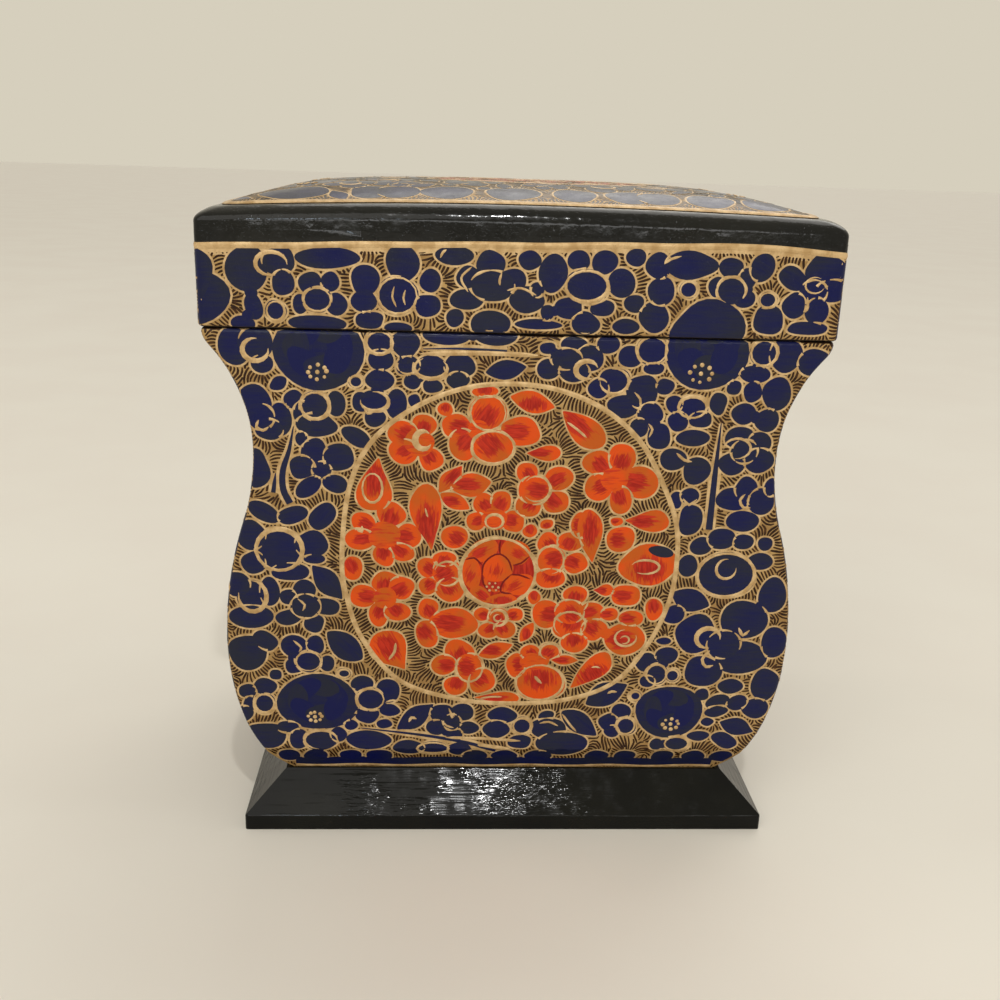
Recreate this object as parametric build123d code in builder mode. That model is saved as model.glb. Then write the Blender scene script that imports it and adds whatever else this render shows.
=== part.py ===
from build123d import *
import math
import os

# A tall papier mache box: an ogee-sided body built of glued panels, a sloping
# black plinth under it, and a lift-off lid with a pillowed top.
# Millimetres.  X runs along the front, Y from front to back, Z up.
# The origin is the centre of the plinth's underside.

# ---- driving dimensions -------------------------------------------------

# plinth: an upright edge, then a slope up to the foot of the body
plinth_edge_height = 3.5
plinth_slope_height = 7.9
plinth_flare_side = 8.5
plinth_flare_front = 7.4
plinth_ledge_side = 1.7
plinth_ledge_front = 0.6
plinth_round = 0.7

# body: the rim's width, and how far each turn of the ogee outline lies inside it on each side
body_depth = 80.4
body_height = 101.2
rim_width = 128.6
foot_inset = 15.7
hip_inset = 4.9
belly_inset = 2.4
waist_inset = 9.4
lip_inset = 1.1
# heights above the plinth, then depths below the rim
hip_height = 15.6
belly_height = 32.6
waist_drop = 25.1
lip_drop = 3.4
# where the belly's swell turns into the waist's hollow, as a share of the way down
turning_share = 0.37

# the lower edge of the front and back panels is turned under
turn_under_height = 6.7
turn_under_inset = 3.3
turn_under_round = 2.0

# board and shell thicknesses
panel_thickness = 4.5
side_wall = 3.5
side_foot = 6.0
floor_thickness = 3.5
edge_round = 0.9

# collar: four strips glued into a rebate round the mouth, which locate the lid
collar_thickness = 2.5
collar_seat_depth = 4.5
collar_stand = 6.0
collar_round = 0.6

# lid: four straight walls under a hollow pillowed top
lid_overhang = 0.7
lid_clearance = 0.5
lid_wall_height = 17.2
lid_band_height = 4.4
lid_corner_round = 1.4
shoulder_rise = 3.5
shoulder_inset = 4.0
shoulder_corner_round = 5.0
pillow_rise = 3.9
plateau_depth = 26.0
plateau_corner_round = 11.0
lid_top_thickness = 4.0
# facets up the shoulder and up the pillow, fewer on the hidden inside
shoulder_steps = 6
pillow_steps = 8
inside_shoulder_steps = 4
inside_pillow_steps = 5

# ---- places worked out from them ---------------------------------------

plinth_height = plinth_edge_height + plinth_slope_height
rim_z = plinth_height + body_height
half_depth = body_depth / 2
inner_half_depth = half_depth - panel_thickness
inner_depth = 2 * inner_half_depth

rim_half = rim_width / 2
foot_half = rim_half - foot_inset
foot_width = 2 * foot_half
mouth_half = rim_half - panel_thickness
floor_half = foot_half - side_foot

foot_half_depth = half_depth - turn_under_inset
plinth_top_width = foot_width + 2 * plinth_ledge_side
plinth_top_depth = 2 * (foot_half_depth + plinth_ledge_front)
plinth_width = plinth_top_width + 2 * plinth_flare_side
plinth_depth = plinth_top_depth + 2 * plinth_flare_front

collar_height = collar_seat_depth + collar_stand
collar_z = rim_z - collar_seat_depth

lid_width = rim_width + 2 * lid_overhang
lid_depth = body_depth + 2 * lid_overhang
lid_inner_width = 2 * (mouth_half + lid_clearance)
lid_inner_depth = 2 * (inner_half_depth + lid_clearance)
lid_side_wall = (lid_width - lid_inner_width) / 2
lid_front_wall_thickness = (lid_depth - lid_inner_depth) / 2
lid_top_z = rim_z + lid_wall_height
pillow_run = (lid_depth - plateau_depth) / 2 - shoulder_inset
plateau_round = min(plateau_corner_round, 0.45 * plateau_depth)


def ogee_outline(extra_height=0.0):
    """The front outline as a face: foot, belly, waist and lip in tangent arcs.

    extra_height carries the rim straight up past the mouth, for cutting tools.
    """
    foot = (foot_half, plinth_height)
    hip = (rim_half - hip_inset, plinth_height + hip_height)
    belly = (rim_half - belly_inset, plinth_height + belly_height)
    waist = (rim_half - waist_inset, rim_z - waist_drop)
    lip = (rim_half - lip_inset, rim_z - lip_drop)
    rim = (rim_half, rim_z)
    top = (rim_half, rim_z + extra_height)
    turning = tuple(w + turning_share * (b - w) for w, b in zip(waist, belly))
    with BuildSketch() as outline:
        with BuildLine():
            under_belly = TangentArc(belly, hip, tangent=(0, -1))
            TangentArc(hip, foot, tangent=under_belly % 1)
            over_belly = TangentArc(belly, turning, tangent=(0, 1))
            TangentArc(turning, waist, tangent=over_belly % 1)
            hollow = TangentArc(waist, lip, tangent=(0, 1))
            TangentArc(lip, rim, tangent=hollow % 1)
            if extra_height:
                Line(rim, top)
            Line(top, (0, top[1]))
            Line(foot, (0, foot[1]))
            mirror(about=Plane.YZ)
        make_face()
    return outline.sketch


# ---- plinth -------------------------------------------------------------

def plinth_section(bottom, top):
    """Upright edge and slope, seen along one side: two of them crossed make the plinth."""
    with BuildSketch() as section:
        with BuildLine():
            Polyline(
                (-bottom / 2, 0),
                (bottom / 2, 0),
                (bottom / 2, plinth_edge_height),
                (top / 2, plinth_height),
                (-top / 2, plinth_height),
                (-bottom / 2, plinth_edge_height),
                close=True,
            )
        make_face()
    return section.sketch


with BuildPart() as plinth:
    with BuildSketch(Plane.XZ):
        add(plinth_section(plinth_width, plinth_top_width))
    extrude(amount=plinth_depth / 2, both=True)
    with BuildSketch(Plane.YZ):
        add(plinth_section(plinth_depth, plinth_top_depth))
    extrude(amount=plinth_width / 2, both=True, mode=Mode.INTERSECT)
    upright_corners = plinth.edges().filter_by(Axis.Z)
    edge_top = plinth.edges().filter_by_position(Axis.Z, plinth_edge_height, plinth_edge_height)
    fillet(upright_corners + edge_top, radius=plinth_round)
plinth.part.label = "plinth"

# ---- body: floor, front and back panels, curved sides -------------------

with BuildPart() as floor_board:
    with BuildSketch(Plane.XY.offset(plinth_height)):
        Rectangle(2 * floor_half, inner_depth)
    extrude(amount=floor_thickness)
floor_board.part.label = "floor_board"

with BuildPart() as front_panel:
    with BuildSketch(Plane.XZ.offset(inner_half_depth)):
        add(ogee_outline())
    extrude(amount=panel_thickness)
    # the face's sides and top are softened, with the rim's short returns at both ends
    face_edges = front_panel.faces().sort_by(Axis.Y)[0].edges()
    foot_edge = face_edges.sort_by(Axis.Z)[0]
    rim_returns = front_panel.faces().sort_by(Axis.Z)[-1].edges().filter_by(Axis.Y)
    fillet([edge for edge in face_edges if edge is not foot_edge] + rim_returns, radius=edge_round)
    # seen from the side, the lower edge is turned under towards the plinth
    with BuildSketch(Plane.YZ):
        with BuildLine():
            crease = (-half_depth, plinth_height + turn_under_height)
            tucked = (-foot_half_depth, plinth_height)
            face = FilletPolyline((-half_depth, rim_z), crease, tucked, radius=turn_under_round)
            inside = (-inner_half_depth, plinth_height)
            Polyline(face @ 1, inside, (inside[0], rim_z), face @ 0)
        make_face()
    extrude(amount=rim_width, both=True, mode=Mode.INTERSECT)
front_panel.part.label = "front_panel"

with BuildPart() as back_panel:
    mirror(front_panel.part, about=Plane.XZ)
back_panel.part.label = "back_panel"

with BuildPart() as right_side_panel:
    with BuildSketch(Plane.XZ.offset(-inner_half_depth)):
        add(ogee_outline())
        add(offset(ogee_outline(side_wall), -side_wall, mode=Mode.PRIVATE), mode=Mode.SUBTRACT)
        # rebate for the collar, and the space of the floor board
        with Locations((0, rim_z)):
            Rectangle(2 * mouth_half, 2 * collar_seat_depth, mode=Mode.SUBTRACT)
        with Locations((0, plinth_height)):
            Rectangle(2 * floor_half, 2 * belly_height, mode=Mode.SUBTRACT)
        # only the right-hand wall is kept
        with Locations((-rim_width / 2, rim_z / 2)):
            Rectangle(rim_width, 2 * rim_z, mode=Mode.SUBTRACT)
    extrude(amount=inner_depth)
    rim_edge = right_side_panel.edges().filter_by(Axis.Y).group_by(Axis.Z)[-1].sort_by(Axis.X)[-1]
    fillet(rim_edge, radius=edge_round)
right_side_panel.part.label = "right_side_panel"

with BuildPart() as left_side_panel:
    mirror(right_side_panel.part, about=Plane.YZ)
left_side_panel.part.label = "left_side_panel"

# ---- collar strips round the mouth --------------------------------------

with BuildPart() as collar_front:
    with BuildSketch(Plane.XY.offset(collar_z)):
        with Locations((0, collar_thickness / 2 - inner_half_depth)):
            Rectangle(2 * mouth_half, collar_thickness)
    extrude(amount=collar_height)
    lead_in = collar_front.faces().sort_by(Axis.Z)[-1].edges().filter_by(Axis.X)
    fillet(lead_in, radius=collar_round)
collar_front.part.label = "collar_front"

with BuildPart() as collar_back:
    mirror(collar_front.part, about=Plane.XZ)
collar_back.part.label = "collar_back"

with BuildPart() as collar_right:
    with BuildSketch(Plane.XY.offset(collar_z)):
        with Locations((mouth_half - collar_thickness / 2, 0)):
            Rectangle(collar_thickness, inner_depth - 2 * collar_thickness)
    extrude(amount=collar_height)
    lead_in = collar_right.faces().sort_by(Axis.Z)[-1].edges().filter_by(Axis.Y)
    fillet(lead_in, radius=collar_round)
collar_right.part.label = "collar_right"

with BuildPart() as collar_left:
    mirror(collar_right.part, about=Plane.YZ)
collar_left.part.label = "collar_left"

# ---- lid walls: front and back run full width, the sides fit between ----

with BuildPart() as lid_front_wall:
    with BuildSketch(Plane.XY.offset(rim_z)):
        with Locations((0, (lid_front_wall_thickness - lid_depth) / 2)):
            Rectangle(lid_width, lid_front_wall_thickness)
    extrude(amount=lid_wall_height)
    outer_corners = lid_front_wall.edges().filter_by(Axis.Z).group_by(Axis.Y)[0]
    fillet(outer_corners, radius=lid_corner_round)
    # the lower edge is softened all round, apart from the inner edge
    lower_edges = lid_front_wall.faces().sort_by(Axis.Z)[0].edges().sort_by(Axis.Y)
    fillet(lower_edges[:-1], radius=edge_round)
lid_front_wall.part.label = "lid_front_wall"

with BuildPart() as lid_back_wall:
    mirror(lid_front_wall.part, about=Plane.XZ)
lid_back_wall.part.label = "lid_back_wall"

with BuildPart() as lid_right_wall:
    with BuildSketch(Plane.XY.offset(rim_z)):
        with Locations(((lid_width - lid_side_wall) / 2, 0)):
            Rectangle(lid_side_wall, lid_inner_depth)
    extrude(amount=lid_wall_height)
    lower_edge = lid_right_wall.faces().sort_by(Axis.Z)[0].edges().sort_by(Axis.X)[-1]
    fillet(lower_edge, radius=edge_round)
lid_right_wall.part.label = "lid_right_wall"

with BuildPart() as lid_left_wall:
    mirror(lid_right_wall.part, about=Plane.YZ)
lid_left_wall.part.label = "lid_left_wall"

# ---- lid top: upright band, rounded shoulder, then a shallow pillow -----


def pillowed_block(width, depth, base_z, shoulder_facets, pillow_facets):
    """Band, shoulder and pillow on the given plan, from base_z up, with the same plateau each time."""
    run = pillow_run - (lid_depth - depth) / 2
    band_z = base_z + lid_band_height
    with BuildPart() as block:
        with BuildSketch(Plane.XY.offset(base_z)):
            RectangleRounded(width, depth, lid_corner_round)
        extrude(amount=lid_band_height)
        # the shoulder is a quarter of an ellipse
        for step in range(shoulder_facets + 1):
            turn = math.radians(90 * step / shoulder_facets)
            share = 1 - math.cos(turn)
            inset = share * shoulder_inset
            radius = lid_corner_round + share * (shoulder_corner_round - lid_corner_round)
            with BuildSketch(Plane.XY.offset(band_z + math.sin(turn) * shoulder_rise)):
                RectangleRounded(width - 2 * inset, depth - 2 * inset, radius)
        # the pillow is part of a parabola, and flattens towards its plateau
        for step in range(1, pillow_facets + 1):
            share = step / pillow_facets
            inset = shoulder_inset + share * run
            rise = shoulder_rise + pillow_rise * (1 - (1 - share) ** 2)
            radius = shoulder_corner_round + share * (plateau_round - shoulder_corner_round)
            with BuildSketch(Plane.XY.offset(band_z + rise)):
                RectangleRounded(width - 2 * inset, depth - 2 * inset, radius)
        loft(ruled=True)
    return block.part


with BuildPart() as lid_top:
    add(pillowed_block(lid_width, lid_depth, lid_top_z, shoulder_steps, pillow_steps))
    hollow_z = lid_top_z - lid_top_thickness
    add(
        pillowed_block(
            lid_inner_width, lid_inner_depth, hollow_z, inside_shoulder_steps, inside_pillow_steps
        ),
        mode=Mode.SUBTRACT,
    )
lid_top.part.label = "lid_top"

# ---- files --------------------------------------------------------------

os.makedirs("parts", exist_ok=True)
export_step(plinth.part, "parts/plinth.step")
export_step(floor_board.part, "parts/floor_board.step")
export_step(front_panel.part, "parts/front_panel.step")
export_step(back_panel.part, "parts/back_panel.step")
export_step(right_side_panel.part, "parts/right_side_panel.step")
export_step(left_side_panel.part, "parts/left_side_panel.step")
export_step(collar_front.part, "parts/collar_front.step")
export_step(collar_back.part, "parts/collar_back.step")
export_step(collar_right.part, "parts/collar_right.step")
export_step(collar_left.part, "parts/collar_left.step")
export_step(lid_front_wall.part, "parts/lid_front_wall.step")
export_step(lid_back_wall.part, "parts/lid_back_wall.step")
export_step(lid_right_wall.part, "parts/lid_right_wall.step")
export_step(lid_left_wall.part, "parts/lid_left_wall.step")
export_step(lid_top.part, "parts/lid_top.step")
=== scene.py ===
# %% [markdown]
# # A Kashmiri papier mache box
#
# The real box is pulp board glued into a swelling body on a black foot, with a lid that
# lifts off.  It is painted gold all over, then flowers are laid on in navy and orange,
# outlined in gold with a fine brush, and every gap between them is filled with short dark
# ink strokes.  Clear varnish goes over the whole.
#
# The CAD model already holds the boards.  So this lesson is about the painting: each face
# is drawn flat, in millimetres, the way the painter would see it, and the drawing is then
# wrapped on to the board as thin layers of paint.

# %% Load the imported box
import itertools
import math

import bpy
import numpy as np
from mathutils import Matrix, Vector


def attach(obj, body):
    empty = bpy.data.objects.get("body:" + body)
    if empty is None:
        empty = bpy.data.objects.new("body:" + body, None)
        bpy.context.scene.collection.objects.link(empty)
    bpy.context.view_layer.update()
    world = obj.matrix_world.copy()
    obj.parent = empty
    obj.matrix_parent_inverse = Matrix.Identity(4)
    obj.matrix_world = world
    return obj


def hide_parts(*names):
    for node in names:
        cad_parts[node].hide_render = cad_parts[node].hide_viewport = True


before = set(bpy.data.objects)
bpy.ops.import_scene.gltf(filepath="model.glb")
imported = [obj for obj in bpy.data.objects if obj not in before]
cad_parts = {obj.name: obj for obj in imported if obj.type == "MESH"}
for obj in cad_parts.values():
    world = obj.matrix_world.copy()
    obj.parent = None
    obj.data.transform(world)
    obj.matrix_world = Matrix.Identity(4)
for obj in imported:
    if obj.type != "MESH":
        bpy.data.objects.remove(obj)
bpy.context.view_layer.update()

MM = 0.001


def new_object(name, data):
    """An object in the scene that shows some data."""
    made = bpy.data.objects.new(name, data)
    bpy.context.scene.collection.objects.link(made)
    return made


# %% [markdown]
# ## Camera
#
# A camera is an object whose own -Z axis looks into the scene.  Its three axes are built
# from where it looks (yaw and pitch) and how far it leans (roll), and are put into a matrix.

# %% Set the camera
CAMERA_PLACE = (-16.2, -263.9, 148.2)
YAW, PITCH, ROLL = 0.057, 0.306, 0.033
LENS, SENSOR = 40, 36


def camera_matrix(place, yaw, pitch, roll):
    """World matrix of a camera looking along yaw, pitched down and rolled, in radians."""
    ahead = Vector((math.sin(yaw) * math.cos(pitch), math.cos(yaw) * math.cos(pitch), -math.sin(pitch)))
    level = Vector((math.cos(yaw), -math.sin(yaw), 0))
    upright = level.cross(ahead)
    right = math.cos(roll) * level + math.sin(roll) * upright
    up = math.cos(roll) * upright - math.sin(roll) * level
    axes = Matrix((right, up, -ahead)).transposed().to_4x4()
    return Matrix.Translation(Vector(place) * MM) @ axes


camera = new_object("camera", bpy.data.cameras.new("camera"))
camera.data.lens = LENS
camera.data.sensor_width = SENSOR
camera.data.clip_start = 0.01
camera.matrix_world = camera_matrix(CAMERA_PLACE, YAW, PITCH, ROLL)
bpy.context.scene.camera = camera
bpy.context.scene.view_settings.view_transform = "Standard"
print("camera at", CAMERA_PLACE)

# %% [markdown]
# ## Node shorthand
#
# A material is a graph.  These helpers add a node, set its sockets and wire it, so that
# the cells below read as what the finish is and not as wiring.

# %% Node helpers
def srgb(red, green, blue):
    """A colour as a painter would pick it, 0 to 255, turned into linear light."""
    def linear(value):
        value /= 255
        return value / 12.92 if value <= 0.04045 else ((value + 0.055) / 1.055) ** 2.4
    return (linear(red), linear(green), linear(blue), 1)


def node(tree, kind, inputs=None, **settings):
    """Add a node; inputs are values or output sockets, by name or number."""
    made = tree.nodes.new(kind)
    for key, value in settings.items():
        setattr(made, key, value)
    for key, value in (inputs or {}).items():
        if isinstance(value, bpy.types.NodeSocket):
            tree.links.new(value, made.inputs[key])
        else:
            made.inputs[key].default_value = value
    return made


def maths(tree, operation, a, b):
    """One arithmetic step; a and b are numbers or sockets."""
    return node(tree, "ShaderNodeMath", {0: a, 1: b}, operation=operation).outputs[0]


def swing(tree, value, amount):
    """Turn a value round 0.5 into one round 0, and scale it."""
    return maths(tree, "MULTIPLY", maths(tree, "SUBTRACT", value, 0.5), amount)


def blend(tree, share, a, b):
    """Mix two colours by a share from 0 to 1."""
    return node(tree, "ShaderNodeMix", {0: share, 6: a, 7: b}, data_type="RGBA").outputs[2]


def spread(tree, value, low, high, to_low=0.0, to_high=1.0):
    """Stretch part of a value's range smoothly."""
    keys = {"Value": value, "From Min": low, "From Max": high, "To Min": to_low, "To Max": to_high}
    return node(tree, "ShaderNodeMapRange", keys, interpolation_type="SMOOTHSTEP").outputs[0]


def noise(tree, place, scale, detail=3.0, rough=0.5):
    """Cloudy noise; place is a vector socket, scale is in waves per unit of it."""
    keys = {"Vector": place, "Scale": scale, "Detail": detail, "Roughness": rough}
    return node(tree, "ShaderNodeTexNoise", keys).outputs["Fac"]


def object_place(tree):
    """The place on the box, in metres."""
    return node(tree, "ShaderNodeTexCoord").outputs["Object"]


print("node helpers ready")

# %% [markdown]
# Effects that several finishes share become node groups with named inputs.  A group is
# built once and placed in each material with its own values.  Geometry Nodes use the same
# kind of group, so one helper makes both.

# %% Group helpers
FLOAT, MATERIAL, GEOMETRY = "NodeSocketFloat", "NodeSocketMaterial", "NodeSocketGeometry"


def new_group(name, inputs, outputs, kind="ShaderNodeTree"):
    """An empty node group; an input with no value keeps Blender's own."""
    tree = bpy.data.node_groups.new(name, kind)
    for label, sort, value in inputs:
        socket = tree.interface.new_socket(label, in_out="INPUT", socket_type=sort)
        if value is not None:
            socket.default_value = value
    for label, sort in outputs:
        tree.interface.new_socket(label, in_out="OUTPUT", socket_type=sort)
    return tree, tree.nodes.new("NodeGroupInput").outputs, tree.nodes.new("NodeGroupOutput").inputs


def use_group(tree, group, inputs=None):
    """Place a node group and hand back its outputs."""
    return node(tree, "ShaderNodeGroup", inputs, node_tree=group).outputs


def empty_tree(owner):
    """Switch on the nodes of a material or world, and clear them."""
    owner.use_nodes = True
    owner.node_tree.nodes.clear()
    return owner.node_tree


print("group helpers ready")

# %% [markdown]
# ## Varnish
#
# Brushed varnish is never flat: it flows into soft hills a few millimetres across, and
# catches specks of dust.  The group turns that into a height, which each finish feeds to
# a Bump node.  The same hills break up every reflection in the same way all over the box.

# %% The varnish surface
varnish, came_in, goes_out = new_group(
    "varnish_surface",
    [("Hills", FLOAT, 1.0), ("Specks", FLOAT, 0.15)],
    [("Height", FLOAT)],
)
where = node(varnish, "ShaderNodeTexCoord").outputs["Object"]
hills = noise(varnish, where, 190.0, 2.0)
ripples = noise(varnish, where, 750.0, 2.0)
specks = spread(varnish, noise(varnish, where, 2600.0, 1.0), 0.62, 0.8)
height = maths(varnish, "MULTIPLY", hills, came_in["Hills"])
height = maths(varnish, "ADD", height, maths(varnish, "MULTIPLY", ripples, 0.18))
height = maths(varnish, "ADD", height, maths(varnish, "MULTIPLY", specks, came_in["Specks"]))
varnish.links.new(height, goes_out["Height"])
print("varnish group:", len(varnish.nodes), "nodes")

# %% [markdown]
# ## Paints
#
# Every paint keeps two things from the brush: a patchy load of pigment, and streaks along
# the stroke.  Petals carry two attributes for this.  "tone" says how much of the second
# colour was blended in, and "brush" is a point measured along and across the stroke, so a
# noise that is stretched along it reads as bristle marks.

# %% Brush marks
bristles, came_in, goes_out = new_group(
    "bristle_marks", [("Along", FLOAT, 0.25), ("Across", FLOAT, 2.2)], [("Streaks", FLOAT)]
)
stroke = node(bristles, "ShaderNodeAttribute", attribute_name="brush").outputs["Vector"]
parts = node(bristles, "ShaderNodeSeparateXYZ", {0: stroke}).outputs
along = maths(bristles, "MULTIPLY", parts[0], came_in["Along"])
across = maths(bristles, "MULTIPLY", parts[1], came_in["Across"])
drawn = node(bristles, "ShaderNodeCombineXYZ", {0: along, 1: across, 2: parts[2]}).outputs[0]
bristles.links.new(noise(bristles, drawn, 1.0, 2.0, 0.6), goes_out["Streaks"])
print("bristle group:", len(bristles.nodes), "nodes")

# %% [markdown]
# Every finish on the box is paint under the same varnish, so one function makes them all.
# It takes a function that builds the colour, and keeps the shader in the material itself.

# %% A varnished finish
BUMP_DEPTH = 0.0004


def bumped(tree, height, strength):
    """Turn a height into a normal."""
    keys = {"Strength": strength, "Distance": BUMP_DEPTH, "Height": height}
    return node(tree, "ShaderNodeBump", keys).outputs[0]


def varnished(name, colour, rough=0.21, bump=0.3, metallic=0.0, specular=0.19):
    """A painted and varnished finish; colour is a function that builds the colour socket."""
    material = bpy.data.materials.new(name)
    tree = empty_tree(material)
    cloud = noise(tree, object_place(tree), 300.0)
    mottled = spread(tree, cloud, 0.3, 0.7, rough - 0.06, rough + 0.06)
    surface = use_group(tree, varnish, {"Hills": 1.0})["Height"]
    keys = {"Base Color": colour(tree), "Roughness": mottled, "Metallic": metallic,
            "Specular IOR Level": specular, "Normal": bumped(tree, surface, bump)}
    shader = node(tree, "ShaderNodeBsdfPrincipled", keys).outputs[0]
    node(tree, "ShaderNodeOutputMaterial", {"Surface": shader})
    return material


def lacquer_colour(tree):
    """Black lacquer that is a little green-brown where it lies thin."""
    cloud = noise(tree, object_place(tree), 60.0, 4.0)
    return blend(tree, spread(tree, cloud, 0.35, 0.7), srgb(9, 10, 9), srgb(18, 18, 14))


PAINTS = {"lacquer": varnished("black_lacquer_smooth", lacquer_colour, rough=0.12, bump=0.5, specular=0.3)}
INSIDE = varnished("inside_black", lacquer_colour, rough=0.45)
print("black finishes:", PAINTS["lacquer"].name, INSIDE.name)

# %% [markdown]
# The gold is bronze powder in glue: a dull tan ground, and brighter lines drawn over it.
# The ground is painted dark near the rim and the lid's lower edge, as painted shade for
# the shadowed seam between body and lid, and the inside of each board is black.  Inside
# faces are the ones that look at the middle of the box, which the normal tells.

# %% Gold
def gold_ground_colour(tree):
    """Tan gold ground, mottled, with a little brown rubbed into it."""
    cloud = noise(tree, object_place(tree), 260.0, 4.0)
    grain = noise(tree, object_place(tree), 1900.0, 2.0)
    base = blend(tree, spread(tree, cloud, 0.3, 0.7), srgb(150, 116, 68), srgb(182, 148, 94))
    return blend(tree, spread(tree, grain, 0.55, 0.8, 0.0, 0.45), base, srgb(150, 112, 66))


def ground_with_painted_seam_shade(low, high):
    """Gold ground, with painted seam shade between two heights in mm, and black on the inside."""
    def colour(tree):
        place = object_place(tree)
        height = node(tree, "ShaderNodeSeparateXYZ", {0: place}).outputs[2]
        share = spread(tree, height, low * MM, high * MM)
        # painted shade: dark brown where the seam between body and lid lies in shadow
        outside = blend(tree, share, gold_ground_colour(tree), srgb(26, 20, 16))
        level = node(tree, "ShaderNodeMapping", {0: place, "Scale": (1, 1, 0)}).outputs[0]
        facing = node(tree, "ShaderNodeTexCoord").outputs["Normal"]
        outward = node(tree, "ShaderNodeVectorMath", {0: facing, 1: level}, operation="DOT_PRODUCT")
        inward = maths(tree, "LESS_THAN", outward.outputs["Value"], -0.001)
        return blend(tree, inward, outside, lacquer_colour(tree))
    return colour


def gold_line_colour(tree):
    """Brighter gold of the brush lines, thinner where the brush ran dry."""
    cloud = noise(tree, object_place(tree), 420.0, 3.0)
    grain = noise(tree, object_place(tree), 2600.0, 2.0)
    base = blend(tree, spread(tree, cloud, 0.32, 0.68), srgb(178, 144, 95), srgb(212, 180, 131))
    return blend(tree, spread(tree, grain, 0.5, 0.8, 0.0, 0.4), base, srgb(170, 130, 80))


GOLDS = {
    "gold_ground": ("gold_ground", gold_ground_colour, 0.34),
    "gold_ground_body": ("gold_ground_body", ground_with_painted_seam_shade(112.0, 112.3), 0.34),
    "gold_ground_lid": ("gold_ground_lid", ground_with_painted_seam_shade(113.1, 112.8), 0.34),
    "gold": ("gold_brush_lines", gold_line_colour, 0.3),
}
for finish, (name, colour, rough) in GOLDS.items():
    PAINTS[finish] = varnished(name, colour, rough, metallic=0.2)
print("golds:", sorted(GOLDS))

# %% [markdown]
# Ink and petals are plain colour.  Navy is deep where the brush was full and greyer where
# it ran thin; orange is blended with red while both are wet, so the red shows as streaks.

# %% Ink, navy and orange
def ink_colour(tree):
    """Dark brown ink, thinned by the gold beneath at places."""
    grain = noise(tree, object_place(tree), 900.0, 3.0)
    return blend(tree, spread(tree, grain, 0.35, 0.75), srgb(40, 22, 12), srgb(74, 46, 22))


def navy_colour(tree):
    """Navy petals: deep blue in the middle of a stroke, greyer where the paint is thin."""
    tone = node(tree, "ShaderNodeAttribute", attribute_name="tone").outputs["Fac"]
    streaks = use_group(tree, bristles)["Streaks"]
    mixed = maths(tree, "ADD", tone, swing(tree, streaks, 0.9))
    wide = noise(tree, object_place(tree), 90.0, 1.0)
    mixed = maths(tree, "ADD", mixed, swing(tree, wide, 1.4))
    return blend(tree, spread(tree, mixed, -0.05, 1.0), srgb(32, 35, 50), srgb(12, 18, 70))


def orange_colour(tree):
    """Orange petals, ochre where thin, with red streaks drawn out from the flower's heart."""
    tone = node(tree, "ShaderNodeAttribute", attribute_name="tone").outputs["Fac"]
    streaks = use_group(tree, bristles, {"Along": 0.3, "Across": 1.9})["Streaks"]
    red_share = spread(tree, maths(tree, "ADD", tone, swing(tree, streaks, 1.7)), 0.32, 0.64)
    wide = noise(tree, object_place(tree), 170.0, 2.0)
    base = blend(tree, spread(tree, wide, 0.36, 0.66), srgb(216, 76, 10), srgb(188, 86, 18))
    red = blend(tree, spread(tree, streaks, 0.35, 0.7), srgb(152, 26, 14), srgb(192, 48, 24))
    red = blend(tree, spread(tree, tone, 1.4, 1.8), red, srgb(112, 18, 12))
    return blend(tree, red_share, base, red)


for finish, name, colour in (("ink", "brown_ink", ink_colour), ("navy", "navy_paint", navy_colour),
                             ("orange", "orange_paint", orange_colour)):
    PAINTS[finish] = varnished(name, colour)
print("finishes:", sorted(PAINTS))

# %% [markdown]
# ## The plinth's lacquer
#
# The foot was lacquered with a coarse brush drawn along it, and the bristles left fine
# ridges that break the light into small sparks.  A noise squeezed in Z gives ridges that
# run level round all four slopes, and a second, finer one adds flecks here and there.

# %% Brushed lacquer for the plinth
def brushed_lacquer():
    """Black lacquer with brush ridges that run level round the plinth."""
    material = varnished("black_lacquer_brushed", lacquer_colour, rough=0.1, specular=0.17)
    tree = material.node_tree
    shader = next(n for n in tree.nodes if n.type == "BSDF_PRINCIPLED")
    place = object_place(tree)
    long_marks = node(tree, "ShaderNodeMapping", {0: place, "Scale": (60, 60, 1500)}).outputs[0]
    short_marks = node(tree, "ShaderNodeMapping", {0: place, "Scale": (300, 300, 1900)}).outputs[0]
    patches = spread(tree, noise(tree, place, 70.0, 2.0), 0.42, 0.66)
    flecks = maths(tree, "MULTIPLY", noise(tree, short_marks, 1.0, 2.0), patches)
    ridges = maths(tree, "ADD", maths(tree, "MULTIPLY", noise(tree, long_marks, 1.0, 2.0), 0.45), flecks)
    tree.links.new(bumped(tree, ridges, 0.55), shader.inputs["Normal"])
    return material


PAINTS["plinth"] = brushed_lacquer()
print("plinth finish:", PAINTS["plinth"].name)

# %% [markdown]
# ## Stage and light
#
# The box stands on a wide pale floor in a cream room.  The world is that cream where it is
# seen, straight or in gloss, and an even dim light for everything else.

# %% Floor and world
FLOOR_HALF = 6.0


def stage_floor():
    """A wide pale floor just under the plinth."""
    material = bpy.data.materials.new("pale_table")
    tree = empty_tree(material)
    cloud = noise(tree, object_place(tree), 14.0, 5.0)
    colour = blend(tree, spread(tree, cloud, 0.3, 0.7), srgb(233, 226, 211), srgb(235, 229, 214))
    shader = node(tree, "ShaderNodeBsdfPrincipled", {"Base Color": colour, "Roughness": 0.8}).outputs[0]
    node(tree, "ShaderNodeOutputMaterial", {"Surface": shader})
    mesh = bpy.data.meshes.new("floor")
    corners = [(x * FLOOR_HALF, y * FLOOR_HALF, 0) for x, y in ((-1, -1), (1, -1), (1, 1), (-1, 1))]
    mesh.from_pydata(corners, [], [(0, 1, 2, 3)])
    mesh.materials.append(material)
    new_object("floor", mesh)


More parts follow.
